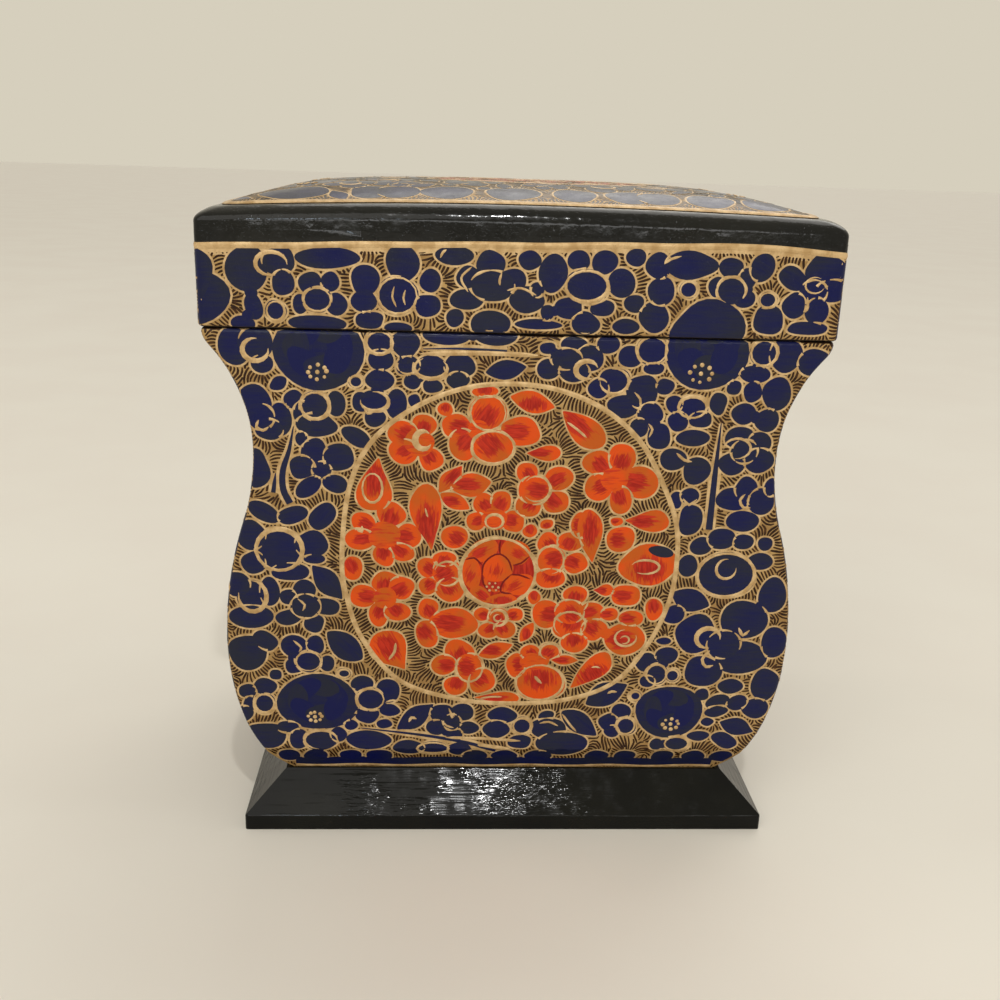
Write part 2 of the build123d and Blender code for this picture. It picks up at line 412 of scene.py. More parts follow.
def cream_world():
    """Cream where it is seen, straight, through glass or in gloss; elsewhere an even dim light."""
    world = bpy.data.worlds.new("cream_room")
    tree = empty_tree(world)
    rays = node(tree, "ShaderNodeLightPath").outputs
    seen = maths(tree, "MAXIMUM", rays["Is Camera Ray"], rays["Is Transmission Ray"])
    seen = maths(tree, "MAXIMUM", seen, rays["Is Glossy Ray"])
    ambient = node(tree, "ShaderNodeBackground", {"Color": srgb(232, 228, 222), "Strength": 0.5}).outputs[0]
    cream = node(tree, "ShaderNodeBackground", {"Color": srgb(214, 207, 189), "Strength": 1.0}).outputs[0]
    mixed = node(tree, "ShaderNodeMixShader", {0: seen, 1: ambient, 2: cream}).outputs[0]
    node(tree, "ShaderNodeOutputWorld", {"Surface": mixed})
    bpy.context.scene.world = world


stage_floor()
cream_world()
print("floor and world ready")

# %% [markdown]
# Daylight comes from two very wide suns, before and behind, so that no side is left dark.
# Varnish shows a lamp's own shape: a long window makes a soft band, and two tiny lamps
# make the sparks.  The side windows only light, and are kept out of the gloss.

# %% Lamps
BOX_MIDDLE = Vector((0, 0, 0.07))
WIDE_SKY = math.radians(50)
WARM, BLUE = (1.0, 0.98, 0.95), (0.72, 0.86, 1.0)


def add_lamp(name, kind, place, power, mirrored=True, **settings):
    """A lamp, placed in mm, that looks at the middle of the box; gloss may be told not to show it."""
    data = bpy.data.lights.new(name, kind)
    data.energy = power
    for key, value in settings.items():
        setattr(data, key, value)
    lamp = new_object(name, data)
    lamp.location = Vector(place) * MM
    lamp.visible_glossy = mirrored
    lamp.rotation_euler = (BOX_MIDDLE - lamp.location).to_track_quat("-Z", "Y").to_euler()


add_lamp("daylight_front", "SUN", (-400, -850, 800), 0.7, angle=WIDE_SKY, color=WARM)
add_lamp("daylight_back", "SUN", (300, 800, 900), 0.8, angle=WIDE_SKY, color=WARM)
add_lamp("window_front", "AREA", (80, -1400, 330), 2.0, shape="RECTANGLE", size=0.8, size_y=0.2)
add_lamp("ceiling_spark", "AREA", (30, -480, 690), 1.1, size=0.02)
add_lamp("window_blue", "AREA", (-150, -800, 385), 0.22, size=0.04, color=BLUE)
add_lamp("window_left", "AREA", (-1300, 200, 500), 2.0, mirrored=False, size=0.4)
add_lamp("window_right", "AREA", (1300, -100, 600), 2.0, mirrored=False, size=0.4)
print("stage lit by", len(bpy.data.lights), "lamps")

# %% [markdown]
# ## The ogee outline
#
# The body's outline is a chain of arcs, each tangent to the one before: under the belly
# to the hip and in to the foot, over the belly, into the waist, and out to the lip.  The
# painting has to follow it twice: it bounds the front and the back, and it is the path
# that the side panels bend along.

# %% Work out the outline
PLINTH_TOP, RIM = 11.4, 112.6
FOOT, HIP, BELLY = (48.6, 11.4), (59.4, 27.0), (61.9, 44.0)
WAIST, LIP, RIM_EDGE = (54.9, 87.5), (63.2, 109.2), (64.3, 112.6)
TURNING_SHARE = 0.37
TURNING = tuple(w + TURNING_SHARE * (b - w) for w, b in zip(WAIST, BELLY))


def tangent_arc(start, end, heading, steps=16):
    """Points on the arc that leaves start along heading and passes through end."""
    start, end, heading = Vector(start), Vector(end), Vector(heading).normalized()
    across = Vector((-heading.y, heading.x))
    chord = end - start
    radius = chord.length_squared / (2 * chord.dot(across))
    centre = start + across * radius
    first = start - centre
    sweep = math.atan2(first.x * (end - centre).y - first.y * (end - centre).x, first.dot(end - centre))

    def spun(arrow, angle):
        return Vector((arrow.x * math.cos(angle) - arrow.y * math.sin(angle),
                       arrow.x * math.sin(angle) + arrow.y * math.cos(angle)))
    points = [centre + spun(first, sweep * step / steps) for step in range(steps + 1)]
    return points, spun(heading, sweep)


def ogee_outline():
    """The right-hand outline from foot to rim, as (half width, height) in mm."""
    under, leaving = tangent_arc(BELLY, HIP, (0, -1))
    foot, _ = tangent_arc(HIP, FOOT, leaving)
    over, leaving = tangent_arc(BELLY, TURNING, (0, 1))
    hollow, _ = tangent_arc(TURNING, WAIST, leaving)
    flare, leaving = tangent_arc(WAIST, LIP, (0, 1))
    rim, _ = tangent_arc(LIP, RIM_EDGE, leaving, 4)
    upward = foot[::-1] + under[::-1][1:] + over[1:] + hollow[1:] + flare[1:] + rim[1:]
    return np.array([tuple(point) for point in upward])


OUTLINE = ogee_outline()
steps_along = np.hypot(*np.diff(OUTLINE, axis=0).T)
OUTLINE_LENGTH = np.concatenate([[0], np.cumsum(steps_along)])
SIDE_TOP = OUTLINE_LENGTH[-1]
print("outline:", len(OUTLINE), "points,", round(SIDE_TOP, 1), "mm long")

# %% [markdown]
# ## Wrapping a flat drawing on to a face
#
# Each face has flat coordinates: u runs to the right as the painter looks at it, v runs
# up, and h is how far the paint stands off the board.  A wrap turns arrays of (u, v, h)
# into places on the box.  The board's edges are softened, so near an edge the wrap drops
# back along a quarter circle, and the paint follows it round the corner.

# %% Wraps for the body
EDGE_ROUND, CORNER_ROUND = 0.9, 1.4
FACE_DEPTH = 40.2
TUCK_Z, TUCKED_DEPTH = 18.1, 36.9
SLOPE_REACH = 0.4


def half_front(v):
    """Half width of the body's front at a height."""
    return np.interp(v, OUTLINE[:, 1], OUTLINE[:, 0])


def round_drop(distance, radius):
    """How far a softened edge has dropped back at a distance from the edge."""
    inward = np.clip(radius - distance, 0, radius)
    return radius - np.sqrt(np.maximum(radius ** 2 - inward ** 2, 0))


def tucked(z):
    """Depth of the front and back at a height below which they are turned under."""
    return FACE_DEPTH - (TUCK_Z - z) * (FACE_DEPTH - TUCKED_DEPTH) / (TUCK_Z - PLINTH_TOP)


def wrap_front(u, v, h, facing=-1):
    """Body front or back: flat, turned under at the foot."""
    drop = round_drop(half_front(v) - np.abs(u), EDGE_ROUND) + round_drop(RIM - v, EDGE_ROUND)
    depth = np.minimum(FACE_DEPTH, tucked(v))
    return np.stack([-facing * u, facing * (depth - drop + h), v], axis=1)


def wrap_back(u, v, h):
    """The back is the front's twin, seen from behind."""
    return wrap_front(u, v, h, facing=1)


def along_outline(v):
    """Half width and height at a length along the outline."""
    return np.interp(v, OUTLINE_LENGTH, OUTLINE[:, 0]), np.interp(v, OUTLINE_LENGTH, OUTLINE[:, 1])


def side_wrap(facing):
    """Body side: v runs along the outline's own length."""
    def wrap(u, v, h):
        x, z = along_outline(v)
        ahead = along_outline(np.clip(v + SLOPE_REACH, 0, SIDE_TOP))
        behind = along_outline(np.clip(v - SLOPE_REACH, 0, SIDE_TOP))
        dx, dz = ahead[0] - behind[0], ahead[1] - behind[1]
        length = np.hypot(dx, dz)
        narrow = np.minimum(1.0, tucked(z) / FACE_DEPTH)
        stand = h - round_drop(FACE_DEPTH - np.abs(u), EDGE_ROUND) - round_drop(SIDE_TOP - v, EDGE_ROUND)
        return np.stack([facing * (x + stand * dz / length), facing * u * narrow,
                         z - stand * dx / length], axis=1)
    return wrap


print("body wraps ready; rim at", RIM, "mm")

# %% [markdown]
# The lid's walls are flat, with rounder corners.  Paint is made of flat triangles, so it
# also has to be folded wherever the board bends under it.  A fold is a function of (u, v)
# that is zero along the bend.

# %% Wraps for the lid, and folds
LID_HALF, LID_DEPTH = 64.75, 40.9
LID_LOW, LID_BAND_TOP = 112.6, 134.2


def lid_wall_wrap(turn):
    """A lid wall: turn is 0 for the front, then 90 degrees more for each wall going round."""
    half, out = (LID_HALF, LID_DEPTH) if turn % 180 == 0 else (LID_DEPTH, LID_HALF)
    angle = math.radians(turn)

    def wrap(u, v, h):
        drop = round_drop(half - np.abs(u), CORNER_ROUND) + round_drop(v - LID_LOW, EDGE_ROUND)
        stand = out - drop + h
        return np.stack([u * math.cos(angle) + stand * math.sin(angle),
                         u * math.sin(angle) - stand * math.cos(angle), v], axis=1)
    return wrap


def fold_lines(values, axis=1):
    """Straight folds at values of u (axis 0) or v (axis 1)."""
    return [lambda u, v, value=value: (u, v)[axis] - value for value in values]


def soft_edge_folds(half, radius, high=None):
    """Folds along a face's softened edges: left and right, and high if given."""
    found = []
    for depth in (0.12 * radius, 0.3 * radius, 0.55 * radius, radius):
        found.append(lambda u, v, depth=depth: u - half(v) + depth)
        found.append(lambda u, v, depth=depth: -u - half(v) + depth)
        if high is not None:
            found += fold_lines([high - depth])
    return found


print("lid wraps ready; lid", 2 * LID_HALF, "by", 2 * LID_DEPTH, "mm")

# %% [markdown]
# ## The lid's shell
#
# The lid top is moulded pulp: an upright band, a rounded shoulder, then a shallow pillow
# up to a flat middle.  In the CAD solid it is a chain of facets, and gloss shows every
# facet, so this shell is made smoother and stands in for it.  It is a stack of rounded
# rectangles with the same number of points in each, joined by quads, outside and inside.

# %% The levels of the lid shell
BAND_FOOT, LID_THICK = 129.8, 4.0
SHOULDER_RISE, SHOULDER_INSET, SHOULDER_CORNER = 3.5, 4.0, 5.0
PILLOW_RISE, PLATEAU_DEPTH, PLATEAU_CORNER = 3.65, 26.0, 11.0
PILLOW_RUN = LID_DEPTH - PLATEAU_DEPTH / 2 - SHOULDER_INSET
LID_INNER_HALF, LID_INNER_DEPTH = 60.2, 36.2
SAG_LEFT, SAG_RIGHT, SAG_START, SAG_OVER = 2.0, 1.2, 130.6, 6.4
BOX_HALF = 65.0


def rounded_loop(half_x, half_y, radius, z, corner_steps=8, side_steps=14):
    """Points of a rounded rectangle, anticlockwise from above."""
    points = []
    corners = [(1, -1, -90), (1, 1, 0), (-1, 1, 90), (-1, -1, 180)]
    for number, (sx, sy, start) in enumerate(corners):
        cx, cy = sx * (half_x - radius), sy * (half_y - radius)
        for step in range(corner_steps + 1):
            angle = math.radians(start + 90 * step / corner_steps)
            points.append((cx + radius * math.cos(angle), cy + radius * math.sin(angle), z))
        nx, ny, following = corners[(number + 1) % 4]
        angle = math.radians(following)
        end = (nx * (half_x - radius) + radius * math.cos(angle),
               ny * (half_y - radius) + radius * math.sin(angle))
        last = points[-1]
        for step in range(1, side_steps):
            share = step / side_steps
            points.append((last[0] + share * (end[0] - last[0]), last[1] + share * (end[1] - last[1]), z))
    return points


def pillow_levels(half_y, base_z, shoulder_steps, pillow_steps):
    """(inset, corner radius, height) of each level, from the foot of the band to the plateau."""
    run = half_y - PLATEAU_DEPTH / 2 - SHOULDER_INSET
    band = base_z + LID_BAND_TOP - BAND_FOOT
    levels = [(0, CORNER_ROUND, base_z)]
    for step in range(shoulder_steps + 1):
        turn = math.radians(90 * step / shoulder_steps)
        share = 1 - math.cos(turn)
        radius = CORNER_ROUND + share * (SHOULDER_CORNER - CORNER_ROUND)
        levels.append((share * SHOULDER_INSET, radius, band + math.sin(turn) * SHOULDER_RISE))
    for step in range(1, pillow_steps + 1):
        share = step / pillow_steps
        radius = SHOULDER_CORNER + share * (PLATEAU_CORNER - SHOULDER_CORNER)
        rise = SHOULDER_RISE + PILLOW_RISE * (1 - (1 - share) ** 2)
        levels.append((SHOULDER_INSET + share * run, radius, band + rise))
    return levels


def settle(x, z):
    """How far the hand-made lid has sagged towards its ends, by height above the band's foot."""
    amount = np.where(np.asarray(x) < 0, SAG_LEFT, SAG_RIGHT) * (np.abs(x) / BOX_HALF) ** 2
    return amount * np.clip((np.asarray(z) - SAG_START) / SAG_OVER, 0, 1)


print("levels outside:", len(pillow_levels(LID_DEPTH, BAND_FOOT, 12, 22)))

# %% [markdown]
# The stacks meet round the foot of the band, so the shell is one closed wall.  Its quads
# are listed row by row, and faces that meet at a sharp angle keep a hard edge.

# %% Make the lid shell
SHARP_ANGLE = math.radians(38)


def mesh_object(name, verts, faces, material):
    """A smooth mesh object from points in mm."""
    mesh = bpy.data.meshes.new(name)
    mesh.from_pydata([(x * MM, y * MM, z * MM) for x, y, z in verts], [], faces)
    mesh.materials.append(material)
    mesh.shade_smooth()
    mesh.set_sharp_from_angle(angle=SHARP_ANGLE)
    return new_object(name, mesh)


def band_faces(rows, count, downwards=False):
    """Quads between loops of count points; the first loop is the outer one, or the top one."""
    faces = []
    for row in range(rows - 1):
        for k in range(count):
            a, b = row * count + k, row * count + (k + 1) % count
            faces.append((a, a + count, b + count, b) if downwards else (a, b, b + count, a + count))
    return faces


def lid_shell():
    """Outside and inside stacks, joined round the foot, closed by the two plateaus."""
    outside = [rounded_loop(LID_HALF - inset, LID_DEPTH - inset, radius, z)
               for inset, radius, z in pillow_levels(LID_DEPTH, BAND_FOOT, 12, 22)]
    outside = [[(x, y, float(z - settle(x, z))) for x, y, z in loop] for loop in outside]
    inside = [rounded_loop(LID_INNER_HALF - inset, LID_INNER_DEPTH - inset, radius, z)
              for inset, radius, z in pillow_levels(LID_INNER_DEPTH, BAND_FOOT - LID_THICK, 6, 8)]
    inside[0] = [(x, y, BAND_FOOT) for x, y, _ in inside[0]]
    loops = outside[::-1] + inside
    count = len(loops[0])
    last = (len(loops) - 1) * count
    faces = [tuple(range(count)), *band_faces(len(loops), count, downwards=True),
             tuple(range(last, last + count))[::-1]]
    return mesh_object("lid_shell", [point for loop in loops for point in loop], faces, PAINTS["lacquer"])


shell = lid_shell()
print("lid shell:", len(shell.data.polygons), "faces")

# %% [markdown]
# The four lid walls keep their CAD shape.  They are copied and drawn in a little, which
# leaves room for the thickness of the paint inside the box's measured width.

# %% Copy the lid walls
LID_WALLS = ("lid_front_wall", "lid_back_wall", "lid_left_wall", "lid_right_wall")


def merged_copy(name, material):
    """A copy of a CAD node, its loose triangles merged, drawn in along x by the paint's room."""
    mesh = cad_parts[name].data
    found, faces = {}, []
    places = [tuple(round(c / MM, 3) for c in corner.co) for corner in mesh.vertices]
    for place in places:
        found.setdefault(place, len(found))
    for face in mesh.polygons:
        loop = [found[places[i]] for i in face.vertices]
        if len(set(loop)) == len(loop):
            faces.append(loop)
    verts = [(x * LID_HALF / BOX_HALF, y, z) for x, y, z in found]
    return mesh_object(name + "_board", verts, faces, material)


wall_boards = [merged_copy(name, PAINTS["gold_ground_lid"]) for name in LID_WALLS]
print("lid walls:", [len(board.data.polygons) for board in wall_boards])

# %% [markdown]
# ## Brush lines, with Geometry Nodes
#
# Outlines, rings, curls, borders and ink strokes are all one thing: a loaded brush drawn
# along a path.  The tree turns loose edges into curves, gives each point the width that
# was stored on it, and sweeps a low arch along them, so a line is thick in the middle of
# a stroke and thin at its ends.  Everything is drawn flat first and wrapped afterwards.

# %% Build the brush line tree
def geometry_tree(name, size_name, size):
    """A geometry tree with a named size and a paint."""
    inputs = [("Geometry", GEOMETRY, None), (size_name, FLOAT, size), ("Paint", MATERIAL, None)]
    return new_group(name, inputs, [("Geometry", GEOMETRY)], "GeometryNodeTree")


def stored_width(tree):
    """The width stored on each point, as a field."""
    keys = {"Name": "width"}
    return node(tree, "GeometryNodeInputNamedAttribute", keys, data_type="FLOAT").outputs["Attribute"]


def end_tree(tree, made, given, out):
    """Every tree ends in real geometry with its paint on it."""
    whole = node(tree, "GeometryNodeRealizeInstances", {0: made}).outputs[0]
    keys = {"Geometry": whole, "Material": given["Paint"]}
    tree.links.new(node(tree, "GeometryNodeSetMaterial", keys).outputs[0], out[0])
    return tree


def brush_line_tree():
    """Edges with a width attribute become low arched ribbons."""
    tree, given, out = geometry_tree("brush_lines", "Arch", 0.12)
    paths = node(tree, "GeometryNodeMeshToCurve", {"Mesh": given["Geometry"]}).outputs[0]
    arch = node(tree, "ShaderNodeCombineXYZ", {1: maths(tree, "MULTIPLY", given["Arch"], -2.0)}).outputs[0]
    keys = {"Resolution": 2, "Start": (-0.5, 0, 0), "Middle": arch, "End": (0.5, 0, 0)}
    profile = node(tree, "GeometryNodeCurveQuadraticBezier", keys).outputs[0]
    keys = {"Curve": paths, "Profile Curve": profile, "Scale": stored_width(tree)}
    ribbons = node(tree, "GeometryNodeCurveToMesh", keys).outputs[0]
    return end_tree(tree, ribbons, given, out)


BRUSH_LINES = brush_line_tree()
print("tree:", BRUSH_LINES.name, len(BRUSH_LINES.nodes), "nodes")

# %% [markdown]
# The pale drops at a flower's heart are instances: one small ball, set on every point and
# pressed flat.  Realising them turns them into plain mesh.

# %% Build the paint drop tree
DROP_SIDES, DROP_RINGS = 10, 6


def drop_tree():
    """Points with a width attribute become small round drops of paint."""
    tree, given, out = geometry_tree("paint_drops", "Height", 0.3)
    keys = {"Segments": DROP_SIDES, "Rings": DROP_RINGS, "Radius": 1.0}
    ball = node(tree, "GeometryNodeMeshUVSphere", keys).outputs[0]
    size = stored_width(tree)
    flat = maths(tree, "MULTIPLY", size, given["Height"])
    scale = node(tree, "ShaderNodeCombineXYZ", {0: size, 1: size, 2: flat}).outputs[0]
    keys = {"Points": given["Geometry"], "Instance": ball, "Scale": scale}
    return end_tree(tree, node(tree, "GeometryNodeInstanceOnPoints", keys).outputs[0], given, out)


PAINT_DROPS = drop_tree()
print("tree:", PAINT_DROPS.name, len(PAINT_DROPS.nodes), "nodes")

# %% [markdown]
# A tree runs as a modifier on a flat mesh of points and edges.  Its inputs are set by
# their identifiers before it is first evaluated, and only the resulting points and
# triangles are kept.

# %% Run a tree
def evaluate(tree, verts, edges, widths, shape, paint):
    """Run a tree over flat points and edges; returns points (n, 3) and triangles (m, 3)."""
    mesh = bpy.data.meshes.new("flat")
    mesh.from_pydata(verts, edges, [])
    mesh.attributes.new("width", "FLOAT", "POINT").data.foreach_set("value", widths)
    flat = new_object("flat", mesh)
    modifier = flat.modifiers.new("drawing", "NODES")
    modifier.node_group = tree
    sockets = {s.name: s.identifier for s in tree.interface.items_tree if s.in_out == "INPUT"}
    modifier[sockets["Arch" if "Arch" in sockets else "Height"]] = shape
    modifier[sockets["Paint"]] = PAINTS[paint]
    made = bpy.data.meshes.new_from_object(flat.evaluated_get(bpy.context.evaluated_depsgraph_get()))
    made.calc_loop_triangles()
    points = np.empty(len(made.vertices) * 3)
    made.vertices.foreach_get("co", points)
    triangles = np.empty(len(made.loop_triangles) * 3, dtype=np.int64)
    made.loop_triangles.foreach_get("vertices", triangles)
    bpy.data.objects.remove(flat)
    bpy.data.meshes.remove(mesh)
    bpy.data.meshes.remove(made)
    return points.reshape(-1, 3), triangles.reshape(-1, 3)


points, triangles = evaluate(BRUSH_LINES, [(0, 0, 0), (9, 0, 0)], [(0, 1)], [1.0, 1.0], 0.1, "gold")
print("a trial line:", len(points), "points,", len(triangles), "triangles")

# %% [markdown]
# ## A sheet to draw on
#
# A sheet stands for one face.  It is built up in three steps, each adding what the painter
# does next.  Petals come in three shapes, all pressed from one unit circle.

# %% Petal shapes
def turned(x, y, degrees):
    """Turn points about the origin."""
    angle = math.radians(degrees)
    return x * math.cos(angle) - y * math.sin(angle), x * math.sin(angle) + y * math.cos(angle)


def oval_reach(petal, way):
    """How far an oval petal reaches from its middle in a direction."""
    x, y = turned(1.0, 0.0, way - petal[4])
    return 1 / math.hypot(x / petal[2], y / petal[3])


def petal_shape(kind, x, y):
    """Press a unit circle into a leaf, a drop or a round petal."""
    if kind == "leaf":
        return x, y * (1 - 0.62 * x * x)
    if kind == "drop":
        return x, y * (1 - 0.8 * ((x + 1) / 2) ** 1.6)
    return x, y


def petal_breadth(kind, x):
    """Half breadth of the unit shape at x."""
    return petal_shape(kind, x, np.sqrt(np.maximum(1 - x * x, 0)))[1]


def covers(along, across, kind):
    """Which points, in a petal's own units, lie on it."""
    return (np.abs(along) < 1) & (np.abs(across) < petal_breadth(kind, np.clip(along, -1, 1)))


for kind in ("round", "leaf", "drop"):
    print(kind, "petal, half breadth halfway out:", round(float(petal_breadth(kind, 0.5)), 2))

# %% [markdown]
# First comes the ground: a map of which spots are taken, in fifth-of-a-millimetre cells,
# so that the ink strokes can later find the gaps.

# %% The taken map
CELL = 0.2


class Ground:
    """One face, and which spots of it are taken."""

    def __init__(self, name, low, high, half, wrap, margin, seed, folds):
        self.name, self.low, self.high, self.half = name, low, high, half
        self.wrap, self.margin, self.folds, self.ceiling = wrap, margin, folds, None
        self.chance = np.random.default_rng(seed)
        self.fills, self.lines, self.drops, self.placed = {}, {}, [], []
        levels = np.arange(low, high, CELL)
        self.wide = float(np.max(half(levels)))
        self.us = -self.wide + CELL * (np.arange(int(2 * self.wide / CELL) + 1) + 0.5)
        self.vs = low + CELL * (np.arange(len(levels)) + 0.5)
        self.taken = np.abs(self.us)[None, :] > (half(self.vs) - margin)[:, None]

    def cell(self, u, v):
        """Row and column of the map under a point."""
        return int((v - self.low) / CELL), int((u + self.wide) / CELL)

    def around(self, u, v, reach):
        """The part of the map around a point, and how far each of its cells is from it."""
        rows = slice(*np.searchsorted(self.vs, [v - reach, v + reach]))
        cols = slice(*np.searchsorted(self.us, [u - reach, u + reach]))
        return self.taken[rows, cols], self.us[cols][None, :] - u, self.vs[rows][:, None] - v

    def take(self, u, v, ru, rv, turn=0.0, kind="round"):
        """Mark a petal's ground as taken."""
        spot, du, dv = self.around(u, v, max(ru, rv))
        along, across = turned(du, dv, -turn)
        along, across = along / ru, across / rv
        breadth = petal_breadth(kind, np.clip(along, -1, 1))
        spot |= (np.abs(across) <= breadth) & (np.abs(along) <= 1)

    def is_free(self, u, v, reach, limit=0.02):
        """True where a round spot of ground is hardly taken."""
        if abs(u) > self.wide or not self.low < v < self.high:
            return False
        spot, du, dv = self.around(u, v, reach)
        disc = du * du + dv * dv <= reach * reach
        return disc.any() and (spot & disc).sum() <= limit * disc.sum()


print("taken map in cells of", CELL, "mm")

# %% [markdown]
# Layers lie a few hundredths of a millimetre apart, in the painter's order: ink on the
# ground, gold under the petals, petals, then gold lines and drops on top.  Petals of one
# flower overlap, so each goes in the lowest layer where it meets no other.  Where two
# petals meet, the painter lets the outline run on a little way, and so does a notch here.

# %% Petals
BASE_H, INK_H, GOLD_H, FILL_H, LINE_H, DROP_H = 0.02, 0.03, 0.05, 0.078, 0.108, 0.13
LAYER_STEP, TOP_LAYER, PAINT_SPREAD = 0.002, 13, 0.26
NOTCH_STEPS, NOTCH_LENGTH, NOTCH_CHANCE = 72, 1.7, 0.85


class Petals(Ground):
    """A face with petals on it."""

    def keep_line(self, paint, height, path, widths, closed=False):
        """Note a brush line for later."""
        self.lines.setdefault((paint, height), []).append((path, widths, closed))

    def dab(self, u, v, ru, rv, turn=0.0, kind="round", paint="navy", rim=0.0, lean=None, tone=None,
            layer=None):
        """One touch of paint, in the lowest layer where it meets no other; rim adds gold under it."""
        wobble = self.chance.uniform(-0.045, 0.045, 3), self.chance.uniform(0, 6.3, 3)
        reach = max(ru, rv) + rim
        near = [old for old in self.placed
                if math.hypot(u - old[0], v - old[1]) < reach + max(old[2:4]) + 0.6]
        used = {old[6] for old in near}
        layer = next(k for k in range(200) if k not in used) if layer is None else layer
        step = min(layer, TOP_LAYER) * LAYER_STEP
        if rim:
            grown = (u, v, ru + rim, rv + rim, turn, kind, wobble, 0, 0, GOLD_H + step)
            self.fills.setdefault("gold", []).append(grown)
        aim = turn if lean is None else lean
        self.fills.setdefault(paint, []).append((u, v, ru, rv, turn, kind, wobble, aim, tone, FILL_H + step))
        self.placed.append((u, v, ru, rv, turn, kind, layer, paint))
        return near

    def petal(self, u, v, ru, rv, turn=0.0, kind="round", paint="navy", rim=0.42, lean=None, tone=None,
              heart=None):
        """A petal with its gold rim; where it meets another, its outline runs on a little way."""
        ru, rv = ru + PAINT_SPREAD, rv + PAINT_SPREAD
        near = self.dab(u, v, ru, rv, turn, kind, paint, rim, lean, tone)
        self.take(u, v, ru + 0.2, rv + 0.2, turn, kind)
        for old in near:
            if old[7] == paint:
                self.notch((u, v, ru, rv, turn, kind), old, heart)

    def notch(self, new, old, heart=None):
        """Short tapering strokes that part two petals; heart is a middle and a reach to keep clear."""
        u, v, ru, rv, turn, kind = new
        angles = np.linspace(0, 2 * math.pi, NOTCH_STEPS, endpoint=False)
        x, y = petal_shape(kind, np.cos(angles), np.sin(angles))
        pu, pv = turned(x * ru, y * rv, turn)
        pu, pv = pu + u, pv + v
        along, across = turned(pu - old[0], pv - old[1], -old[4])
        inside = covers(along / old[2], across / old[3], old[5])
        count = int(inside.sum())
        if not 5 <= count <= 34:
            return
        pace = 2 * math.pi * (ru + rv) / 2 / NOTCH_STEPS
        length = int(min(0.42 * count, NOTCH_LENGTH / pace)) + 2
        for k in range(NOTCH_STEPS):
            entering = inside[k] and not inside[k - 1]
            leaving = inside[k] and not inside[(k + 1) % NOTCH_STEPS]
            if heart and math.hypot(pu[k] - heart[0], pv[k] - heart[1]) < heart[2]:
                continue
            if (entering or leaving) and length > 2 and self.chance.random() < NOTCH_CHANCE:
                way = 1 if entering else -1
                spots = [(k + way * step) % NOTCH_STEPS for step in range(-1, length)]
                path = np.stack([pu[spots], pv[spots]], 1)
                self.keep_line("gold", LINE_H, path, np.linspace(0.62, 0.2, len(path)))

    def join(self, share):
        """Run close petals of one colour together through a narrow neck, as a full brush does."""
        petals = [old for old in self.placed
                  if old[5] == "round" and 1.0 < min(old[2:4]) and max(old[2:4]) < 6.5]
        for first, second in itertools.combinations(petals, 2):
            apart = math.hypot(second[0] - first[0], second[1] - first[1])
            if first[7] != second[7] or apart > 11:
                continue
            way = math.degrees(math.atan2(second[1] - first[1], second[0] - first[0]))
            reach = oval_reach(first, way)
            gap = apart - reach - oval_reach(second, way)
            if -0.2 < gap < 0.3 and self.chance.random() < share * (1 if first[7] == "navy" else 0.5):
                neck = min(0.75 * min(*first[2:4], *second[2:4]), gap / 2 + 1.3)
                du, dv = turned(reach + gap / 2, 0, way)
                place = (first[0] + du, first[1] + dv, gap / 2 + 1.1, neck, way)
                self.dab(*place, paint=first[7], tone=None if first[7] == "navy" else -0.01)
                self.take(*place)


print("layers from", FILL_H, "to", round(FILL_H + TOP_LAYER * LAYER_STEP, 3), "mm above the board")

# %% [markdown]
# Gold lines come last.  A path of a few points is rounded into a smooth one, and its width
# swells and thins as a brush pressed and lifted.  Rings mark hearts of flowers, some open
# on one side, and pearls are the drops in a rose.

# %% Lines, rings and pearls
PATH_STEP = 0.7


def smooth_path(points, closed):
    """More points between the given ones, on a Catmull-Rom curve."""
    if len(points) < 3 and not closed:
        steps = max(3, int(np.hypot(*(points[1] - points[0])) / 1.2))
        return points[0] + np.linspace(0, 1, steps)[:, None] * (points[1] - points[0])
    padded = np.vstack([points[-1:], points, points[:2]]) if closed else np.vstack(
        [2 * points[0] - points[1], points, 2 * points[-1] - points[-2]])
    made = []
    for k in range(1, len(padded) - 2):
        a, b, c, d = padded[k - 1:k + 3]
        steps = max(2, int(np.hypot(*(c - b)) / PATH_STEP))
        for t in np.arange(steps) / steps:
            made.append(0.5 * (2 * b + (c - a) * t + (2 * a - 5 * b + 4 * c - d) * t * t
                               + (3 * b - a - 3 * c + d) * t ** 3))
    if not closed:
        made.append(points[-1])
    return np.array(made)


def taper_ends(widths, slope, end):
    """Thin a line's widths towards both ends."""
    share = np.linspace(0, 1, len(widths))
    return widths * np.clip(np.minimum(share, 1 - share) * slope + end, 0, 1)


